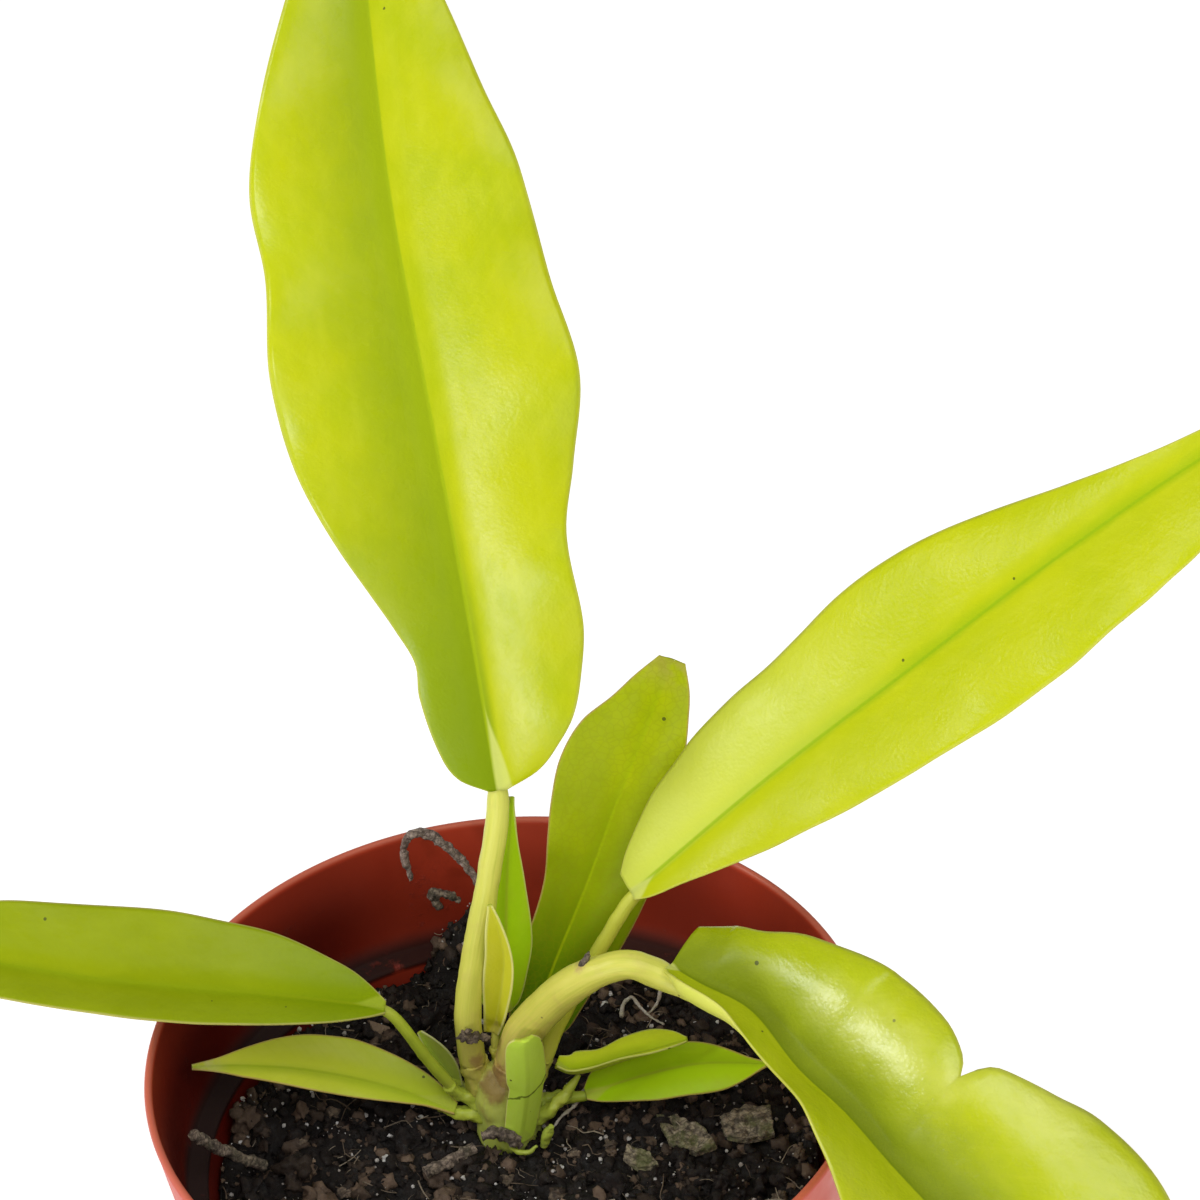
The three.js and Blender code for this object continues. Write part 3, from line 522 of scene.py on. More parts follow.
# A blade with an upper and an under face: curled halves, a grooved rib, raised veins and a thin rim
def bladeBody(form):
    rows, columns = form["rows"], form["columns"]
    path = densePath(form["rib"])
    even = np.linspace(0, 1, rows + 1)
    shares = even - 0.45 * np.sin(tau * even) / tau
    middle, along = pathAt(path, shares), pathAlong(path, shares)
    face = facingAt(form, shares, along)
    across = np.cross(along, face)
    outs = (np.arange(columns + 1) / columns) ** 1.35
    halves, steps = (outs[1:] + outs[:-1]) / 2, np.diff(outs)
    count = 2 * columns + 1
    surface = np.zeros((rows + 1, count, 3))
    sideways, inset = np.zeros((rows + 1, count)), np.zeros((rows + 1, count))
    far = shares * path["whole"]
    size, waves = form["wave"]
    for side, table in ((-1, form["left"]), (1, form["right"])):
        width = smoothTable(table, shares)
        for at, depth, reach in form.get("notches", {}).get(side, []):
            width = width - depth * np.exp(-np.abs(shares - at) / reach)
        lift = smoothTable(table, shares, 2)[:, None]
        droop = form["droop"] if "droop" in form else smoothTable(table, shares, 3)[:, None]
        angle = np.radians(lift * np.minimum(1, halves / 0.17) - droop * halves ** 2)
        outward = np.cumsum(steps * width[:, None] * np.cos(angle), 1)
        upward = np.cumsum(steps * width[:, None] * np.sin(angle), 1)
        wave = size * np.sin(tau * waves * shares + side) * np.sin(np.pi * shares)
        small = form["ripple"] * np.array([noise.noise(Vector((f / 7, side * 4.2, 1.7))) for f in far])
        lifted = upward + wave[:, None] * outs[1:] ** 2 + small[:, None] * outs[1:] ** 3
        half = middle[:, None] + side * outward[..., None] * across[:, None]
        order = columns + side * np.arange(1, columns + 1)
        surface[:, order] = half + lifted[..., None] * face[:, None]
        sideways[:, order] = side * outs[1:] * width[:, None]
        inset[:, order] = (1 - outs[1:]) * width[:, None]
    surface[:, columns] = middle
    inset[:, columns] = inset[:, [columns - 1, columns + 1]].mean(1)
    normal = np.cross(np.gradient(surface, axis=1), np.gradient(surface, axis=0))
    normal /= np.maximum(np.linalg.norm(normal, axis=2, keepdims=True), 1e-9)
    distance = np.abs(sideways)
    thick = form["thick"] * (0.5 + 0.5 * np.minimum(1, inset / 1.6))
    fade = 1 - 0.75 * shares[:, None]
    groove = form["groove"] * fade * np.exp(-(distance / 0.55) ** 2)
    veins = np.cos(tau * (far[:, None] - form["veinSlant"] * distance) / form["veinSpacing"])
    relief = form["relief"] * np.maximum(veins, 0) ** 3 * np.clip((distance - 1.5) / 4, 0, 1)
    relief *= np.clip(inset / 4, 0, 1)
    ridge = form["ridge"] * fade * np.exp(-(distance / 1.1) ** 2)
    top = surface + normal * (thick / 2 - groove - relief)[..., None]
    bottom = surface - normal * (thick / 2 + ridge)[..., None]
    total = (rows + 1) * count
    faces, slots = [], []
    for i in range(rows):
        for j in range(count - 1):
            a = i * count + j
            b, c, d = a + 1, a + count + 1, a + count
            faces.append([a, b, c, d])
            faces.append([total + a, total + d, total + c, total + b])
            slots.extend([0, 1])
    rim = list(range(count - 1)) + [i * count + count - 1 for i in range(rows)]
    rim += [rows * count + j for j in range(count - 1, 0, -1)] + [i * count for i in range(rows, 0, -1)]
    for a, b in zip(rim, rim[1:] + rim[:1]):
        faces.append([a, total + a, total + b, b])
        slots.append(0)
    grain = np.stack([sideways, np.broadcast_to(far[:, None], sideways.shape), sideways * 0], 2)
    return {
        "points": np.concatenate([top.reshape(-1, 3), bottom.reshape(-1, 3)]), "faces": faces, "slots": slots,
        "grain": np.tile(grain.reshape(-1, 3), (2, 1)), "inset": np.tile(inset.ravel(), 2),
        "share": np.tile(np.repeat(shares, count), 2),
    }


# Leaves, sheaths and stub: the forms are those of the part's source, in millimetres.
# left and right: share of the rib, half width, lift of that half in degrees, then its droop
# where the leaf has none of its own. facing: share of the rib, way of the upper face.
leafForms = {
    "leaf_upright": {
        "rib": [
            [1.8, 15, 128.6], [-0.6, 25, 156], [-3.5, 36, 182.5], [-6.4, 48, 209], [-7.3, 60, 233],
            [-7.5, 70, 246.5],
        ],
        "stalk": [
            [-2.2, 8.2, 72, 3.1], [-4.9, 8.6, 80, 2.1], [-5.4, 8.7, 92, 2], [-3.4, 10, 103, 1.9],
            [-0.7, 12, 114.5, 1.7], [1.6, 14.4, 126.5, 1.6],
        ],
        "facing": [[0, -0.05, -1, 0.3], [1, 0.05, -1, 0.5]],
        "left": [
            [0, 1.2, 18], [0.02, 5.2, 18], [0.05, 7.2, 18], [0.12, 8.8, 17], [0.16, 8.6, 17], [0.2, 10.6, 17],
            [0.3, 16, 16], [0.4, 20.3, 16], [0.5, 21, 15], [0.6, 19, 14], [0.68, 19.3, 14], [0.75, 17.3, 14],
            [0.85, 12.7, 13], [0.93, 7.8, 12], [1, 0.7, 12],
        ],
        "right": [
            [0, 1.3, 18], [0.02, 6.4, 18], [0.05, 10.1, 18], [0.08, 12.8, 18], [0.12, 14.6, 17],
            [0.18, 16.2, 17], [0.28, 16, 16], [0.35, 18.6, 16], [0.45, 21.8, 15], [0.55, 20.1, 15],
            [0.65, 18.9, 14], [0.7, 17.8, 14], [0.77, 14.6, 14], [0.85, 11.2, 13], [0.93, 7, 12],
            [1, 0.7, 12],
        ],
        "droop": 22, "wave": (1.1, 4.5), "ridge": 0.9,
    },
    "leaf_right": {
        "rib": [
            [19.7, 14, 108.2], [39.6, 14, 127.4], [58.8, 13, 145], [80, 11, 165], [100.1, 8.5, 182.7],
            [116, 7, 194],
        ],
        "stalk": [
            [0, 8, 72.5, 2], [2.6, 8.2, 76.5, 1.5], [7.9, 10.5, 87.7, 1.2], [14.2, 12.5, 98.7, 1.1],
            [19.2, 13.9, 107.4, 1.05],
        ],
        "facing": [[0, -0.3, -0.5, 0.8], [1, -0.3, -0.5, 0.8]],
        "left": [
            [0, 3.4, 8], [0.02, 5.5, 8], [0.06, 8.3, 8], [0.1, 10.3, 8], [0.2, 12.8, 8], [0.3, 14, 8],
            [0.4, 15.5, 8], [0.5, 14.8, 8], [0.6, 12, 8], [0.7, 8.1, 8], [0.8, 4.8, 8], [0.9, 3, 8],
            [1, 0.6, 8],
        ],
        "right": [
            [0, 1.2, 8], [0.02, 2.5, 8], [0.06, 4.1, 8], [0.1, 5.8, 8], [0.15, 7.7, 8], [0.2, 9.4, 8],
            [0.3, 11.9, 8], [0.4, 13.5, 8], [0.5, 14.5, 8], [0.6, 14.8, 8], [0.7, 13.8, 8], [0.8, 11.8, 8],
            [0.9, 7.6, 8], [0.96, 4, 8], [1, 0.6, 8],
        ],
        "droop": 14, "wave": (0.5, 3), "ridge": 0.8,
    },
    "leaf_drooping": {
        "rib": [
            [24.3, -1, 107.1], [28.4, -4.4, 106.4], [35.1, -9.6, 105.4], [41.2, -19, 102.1], [47, -26, 99.9],
            [52.5, -33.5, 96.8], [66, -51, 89], [78, -67, 75], [88, -82, 54],
        ],
        "stalk": [
            [-1, 7.4, 73, 3.4], [0.2, 7, 81, 2.9], [2.6, 6, 90, 2.9], [5.7, 4.5, 95.5, 2.8],
            [10.1, 2.5, 101.6, 2.7], [14.5, 1, 105.4, 2.3], [18.8, 0, 107, 2.1], [23.6, -0.7, 106.8, 2],
        ],
        "facing": [[0, 0.3, 0.1, 0.95], [0.5, 0.2, 0, 0.95], [1, 0.3, -0.3, 0.9]],
        "left": [
            [0, 7.4, 50, 34], [0.02, 8.7, 56, 38], [0.045, 10, 66, 46], [0.06, 10.2, 72, 50],
            [0.09, 11, 76, 54], [0.12, 14.3, 78, 56], [0.16, 18.3, 78, 58], [0.2, 20.6, 78, 58],
            [0.25, 21, 78, 58], [0.3, 20.2, 78, 58], [0.355, 17.6, 76, 57], [0.38, 20.1, 74, 57],
            [0.4, 21.5, 72, 56], [0.45, 24.7, 67, 53], [0.5, 27, 62, 50], [0.6, 25.6, 50, 44],
            [0.7, 22, 38, 38], [0.8, 17.2, 26, 34], [0.9, 10.2, 18, 34], [1, 0.7, 10, 34],
        ],
        "right": [
            [0, 1.4, 10, 0], [0.02, 4.6, -4, -80], [0.04, 7.6, -10, -110], [0.06, 8.8, -12, -116],
            [0.09, 9.2, -12, -114], [0.12, 8.4, -6, -96], [0.16, 6.3, 8, -45], [0.2, 5.4, 16, -8],
            [0.25, 7.6, 18, 0], [0.3, 9.4, 18, 6], [0.35, 10.4, 17, 9], [0.4, 12.8, 16, 12],
            [0.45, 16, 14, 16], [0.5, 17.5, 12, 20], [0.6, 18, 9, 28], [0.7, 16, 7, 30], [0.8, 12.5, 6, 30],
            [0.9, 7.5, 5, 30], [1, 0.7, 5, 30],
        ],
        "wave": (1.4, 4), "ridge": 1.1,
    },
    "leaf_left": {
        "rib": [
            [-17, 5, 97.7], [-32.4, 5, 101.8], [-45.5, 6, 103.7], [-58.7, 8, 105], [-71.9, 11, 106.3],
            [-85.3, 15, 105.8], [-99.3, 20, 102.1],
        ],
        "stalk": [
            [-3, 7.4, 72.6, 1.4], [-4.6, 7, 75.1, 1.1], [-7.9, 7, 78.1, 0.95], [-11.5, 6.5, 85, 0.9],
            [-14.6, 5.6, 92.6, 0.85], [-16.8, 5.2, 97, 0.8],
        ],
        "facing": [[0, 0, -0.6, 0.8], [1, 0, -0.6, 0.8]],
        "left": [
            [0, 1, 34], [0.03, 2.3, 38], [0.1, 4.3, 38], [0.2, 5.9, 37], [0.3, 6.6, 36], [0.4, 6.7, 35],
            [0.5, 6.4, 34], [0.6, 6.2, 33], [0.7, 5.6, 32], [0.85, 3.6, 30], [1, 0.5, 28],
        ],
        "right": [
            [0, 1, 12], [0.03, 3, 12], [0.06, 4.6, 12], [0.1, 6, 12], [0.2, 8.9, 12], [0.3, 10.1, 12],
            [0.4, 10.8, 12], [0.5, 10.6, 12], [0.6, 9.8, 11], [0.7, 8.6, 11], [0.85, 5.4, 10], [1, 0.5, 10],
        ],
        "droop": 10, "wave": (0.3, 3), "ridge": 0.6,
    },
    "leaf_low_left": {
        "rib": [[-8.5, 6.5, 75.2], [-18.9, 8.7, 79], [-29.9, 8.9, 83], [-39.4, 8.7, 85], [-46.3, 7.9, 86.2]],
        "stalk": [[-3.5, 6.6, 73, 1.3], [-6, 6.4, 74, 1.1], [-8.6, 6.5, 75, 0.9]],
        "facing": [[0, 0, -0.5, 0.85], [1, 0, -0.5, 0.85]],
        "left": [
            [0, 0.9, 24], [0.1, 1.2, 28], [0.2, 2.2, 28], [0.3, 3, 28], [0.5, 3.5, 26], [0.6, 3.3, 24],
            [0.8, 2.1, 22], [0.9, 1.1, 20], [1, 0.4, 20],
        ],
        "right": [
            [0, 1, 10], [0.1, 3, 10], [0.2, 4.2, 10], [0.4, 5.7, 10], [0.5, 5.6, 10], [0.6, 5.2, 10],
            [0.7, 4.2, 10], [0.8, 2.8, 10], [0.9, 1.3, 10], [1, 0.4, 10],
        ],
        "droop": 10, "wave": (0.2, 2), "ridge": 0.4,
    },
    "leaf_cupped": {
        "rib": [
            [6.8, 7.6, 81.6], [8.9, 7.3, 80.6], [12, 7.1, 81], [17, 6.6, 83], [21.4, 6, 84.6],
            [26.2, 5.4, 86.6],
        ],
        "stalk": [[3, 5.8, 72.8, 1.2], [5.6, 5.6, 74.6, 1], [7.8, 6.4, 77.4, 0.85]],
        "facing": [[0, -0.1, -0.25, 1], [1, -0.1, -0.25, 1]],
        "left": [
            [0, 1.4, 30], [0.15, 2.7, 34], [0.35, 2.4, 30], [0.55, 3.1, 26], [0.75, 3.2, 22], [0.9, 2.1, 20],
            [1, 0.5, 20],
        ],
        "right": [
            [0, 1.2, 60], [0.15, 2.8, 64], [0.35, 2.8, 64], [0.55, 2.3, 60], [0.75, 1.5, 52], [0.9, 0.9, 45],
            [1, 0.4, 40],
        ],
        "stalkEnd": 0.2, "droop": 12, "wave": (0.1, 2), "ridge": 0.3,
    },
    "leaf_low_right": {
        "rib": [[10.8, 7.4, 75.4], [18.9, 7.3, 78.2], [27.8, 6.1, 81], [37.5, 2.9, 83]],
        "stalk": [[3, 8.8, 73, 1.3], [6.5, 8.6, 73.8, 1], [10.6, 7.5, 75.2, 0.8]],
        "facing": [[0, 0, -0.5, 0.85], [1, 0, -0.5, 0.85]],
        "left": [
            [0, 1, 14], [0.05, 2.6, 14], [0.1, 3.3, 14], [0.2, 3.9, 14], [0.4, 4.2, 14], [0.5, 3.9, 14],
            [0.6, 3.5, 14], [0.7, 2.8, 14], [0.8, 1.9, 14], [0.9, 1, 14], [1, 0.4, 14],
        ],
        "right": [
            [0, 0.9, 12], [0.05, 1.7, 12], [0.1, 2.3, 12], [0.2, 3.2, 12], [0.3, 3.9, 12], [0.4, 4.5, 12],
            [0.6, 4.8, 12], [0.7, 4.7, 12], [0.8, 4.1, 12], [0.9, 2.6, 12], [1, 0.4, 12],
        ],
        "droop": 12, "wave": (0.15, 2), "ridge": 0.4,
    },
    "leaf_back": {
        "rib": [
            [2.8, 14.5, 80.5], [7.2, 18, 91], [12.9, 21.5, 103], [18.7, 25, 116.7], [23.8, 28, 127.8],
            [28, 31, 137.2],
        ],
        "stalk": [[0, 9, 73, 2.4], [0.8, 10.8, 76, 2], [2, 13.2, 80, 1.3]],
        "facing": [[0, 0.1, -1, 0.3], [1, -0.1, -1, 0.3]],
        "left": [
            [0, 2.2, 12], [0.05, 4, 12], [0.1, 4.5, 12], [0.2, 5.4, 12], [0.3, 5.7, 12], [0.4, 6.4, 12],
            [0.5, 8, 12], [0.6, 9.5, 12], [0.7, 10.4, 12], [0.8, 9.4, 12], [0.88, 6.4, 12], [0.94, 4.4, 12],
            [1, 2, 12],
        ],
        "right": [
            [0, 2.4, 10], [0.05, 5, 10], [0.1, 5.9, 10], [0.2, 7.2, 10], [0.3, 8.4, 10], [0.5, 9, 8],
            [0.6, 8.9, 6], [0.7, 8.1, 5], [0.8, 6.6, 5], [0.88, 5.2, 5], [0.94, 4, 5], [1, 2, 5],
        ],
        "droop": 8, "wave": (0.4, 2.5), "ridge": 0.5,
    },
    "leaf_slender": {
        "rib": [[-0.8, 12.5, 88.3], [0.7, 15, 98.2], [1.8, 18, 109], [3.5, 21, 122.1]],
        "stalk": [[-1.4, 9, 74, 1.8], [-1.6, 11, 79, 1.1], [-0.9, 12.6, 88, 0.8]],
        "facing": [[0, 0.1, -1, 0.3], [1, 0.1, -1, 0.3]],
        "left": [
            [0, 1.6, 6], [0.06, 3.1, 8], [0.2, 3.4, 8], [0.4, 3.3, 8], [0.6, 2.6, 8], [0.8, 1.6, 8],
            [0.93, 0.8, 8], [1, 0.4, 8],
        ],
        "right": [
            [0, 1.4, 4], [0.06, 2.7, 4], [0.2, 3.5, 4], [0.35, 3.9, 4], [0.6, 2.7, 4], [0.8, 1.3, 4],
            [0.93, 0.6, 4], [1, 0.4, 4],
        ],
        "droop": 6, "wave": (0.1, 2), "ridge": 0.4,
    },
    "sheath_tall": {
        "rib": [[-2, 9.8, 87], [-0.6, 8.6, 94], [0.7, 8, 103], [0, 8, 110], [-0.6, 7.9, 113.4]],
        "stalk": [[-1.6, 8.4, 76, 1.2], [-1.8, 9.4, 81, 0.7], [-2, 9.8, 85, 0.6]],
        "facing": [[0, -0.2, -1, 0.2], [1, -0.4, -1, 0.2]],
        "left": [[0, 1.4, 14], [0.2, 2.2, 20], [0.5, 3.1, 26], [0.75, 2.4, 28], [1, 0.4, 20]],
        "right": [[0, 1.0, 24], [0.2, 1.8, 40], [0.5, 2.5, 46], [0.75, 1.8, 40], [1, 0.4, 30]],
        "droop": 0, "wave": (0, 1), "ridge": 0.2,
    },
    "sheath_left": {
        "rib": [[-7.9, 9.4, 77], [-9.9, 9.9, 81.5], [-12.8, 10, 87.9]],
        "stalk": [[-3.4, 8.6, 73.4, 1.2], [-5.2, 8.9, 74.6, 0.9], [-6.6, 9.1, 76, 0.7]],
        "facing": [[0, 0.1, -1, 0.4], [1, 0.1, -1, 0.4]],
        "left": [[0, 0.6, 20], [0.3, 1.1, 24], [0.7, 1, 24], [1, 0.4, 20]],
        "right": [[0, 0.8, 20], [0.3, 1.9, 24], [0.6, 2, 24], [0.85, 1.2, 22], [1, 0.4, 20]],
        "droop": 0, "wave": (0, 1), "ridge": 0.2,
    },
    "stub_torn": {
        "rib": [[0.6, 1.8, 72.3], [1.6, 1.2, 78], [2.5, 0.7, 84.5], [2.8, 0, 94]],
        "stalk": [[0, 6, 74, 1.6], [0.4, 4.4, 74.4, 1.5], [0.8, 3, 75, 1.4]],
        "facing": [[0, 0.25, -1, 0.2], [1, 0.25, -1, 0.3]],
        "left": [
            [0, 2.4, -22], [0.35, 2.7, -24], [0.5, 2.6, -24], [0.56, 3, -24], [0.75, 3.1, -26],
            [0.9, 2.9, -26], [0.96, 2.4, -24], [1, 1.5, -20],
        ],
        "right": [
            [0, 2.6, -22], [0.3, 3.1, -26], [0.48, 3.1, -26], [0.54, 3.5, -26], [0.75, 3.5, -28],
            [0.88, 3.1, -26], [0.95, 2.5, -24], [1, 1.5, -20],
        ],
        "stalkEnd": 0.18, "droop": 12, "wave": (0, 1), "ridge": 0.2,
    },
}
shapeDefaults = {
    "ripple": 0.5, "thick": 0.5, "groove": 0.14, "relief": 0.02, "veinSpacing": 5.0, "veinSlant": 1.1,
    "stalkEnd": 0.06,
}

# Finish of each organ that stands out from the defaults, with painted shade and sheen among it; colours are
# linear
bladeLook = {
    "color": (0.51, 0.55, 0.002), "second": (0.45, 0.52, 0.002), "pale": (0.6, 0.63, 0.03),
    "vein": (0.57, 0.6, 0.02), "veinShow": 0.16, "veinSpacing": 5.0, "veinSlant": 1.1, "veinDepth": 0.025,
    "rib": (0.36, 0.46, 0.003), "ribWidth": 0.4,
    "wedge": (0.62, 0.66, 0.16), "wedgeLength": 0.2, "wedgeShift": 0.4,
    # The crease colour beside the rib is painted shade, and so is the low colour towards the foot, save on
    # leaf_right, where it is a painted sheen.
    "valleyShade": (0.3, 0.39, 0.001), "valleyShadeWidth": 6.0, "valleyShadeLeft": 0.6, "valleyShadeRight": 0.15,
    "low": (0.25, 0.35, 0.001), "lowTo": 0.4, "lowSide": 0.3, "lowShow": 0.0,
    "net": (0.3, 0.36, 0.01), "netShow": 0.0, "tear": (0.1, 0.15, 0.01), "tearAt": 0.0, "tearShow": 0.0,
    "edge": (0.62, 0.6, 0.12), "edgeWidth": 0.4, "edgeShow": 0.6, "tip": (0.4, 0.45, 0.05), "tipFrom": 0.99,
    "under": (0.5, 0.55, 0.07), "underSecond": (0.44, 0.51, 0.04), "specks": 0.05, "marks": (), "sheenPatches": (),
    "rough": 0.25, "gloss": 0.27, "glossFar": 1.0, "glossFrom": 0.06, "glossCrease": 4.0,
    "skin": 0.55, "skinDepth": 0.045, "quilt": 0.1, "glow": 0.15,
}
stalkLook = {
    "foot": (0.6, 0.6, 0.14), "middle": (0.66, 0.65, 0.1), "top": (0.68, 0.68, 0.12),
    "stripe": (0.5, 0.56, 0.05), "blendFrom": 0.1, "blendTo": 0.45,
    "stain": (0.5, 0.36, 0.12), "blotch": 0.15, "specks": 0.05, "rough": 0.42, "marks": (),
}
green = {
    "color": (0.3, 0.42, 0.004), "second": (0.37, 0.47, 0.006), "pale": (0.44, 0.52, 0.03),
    "vein": (0.38, 0.48, 0.015), "rib": (0.38, 0.47, 0.02), "wedge": (0.46, 0.54, 0.06),
    "edge": (0.5, 0.3, 0.12), "edgeWidth": 0.3, "edgeShow": 0.7, "under": (0.42, 0.5, 0.05),
    "underSecond": (0.37, 0.46, 0.03), "veinSpacing": 2.6, "veinDepth": 0.015, "quilt": 0.06, "rough": 0.36,
    "wedgeLength": 0.2, "ribWidth": 0.35, "specks": 0.09, "valleyShade": (0.24, 0.38, 0.003), "valleyShadeWidth": 2.0,
    "valleyShadeLeft": 0.4, "valleyShadeRight": 0.2, "low": (0.2, 0.33, 0.002), "lowSide": 30.0, "lowShow": 0.3,
}
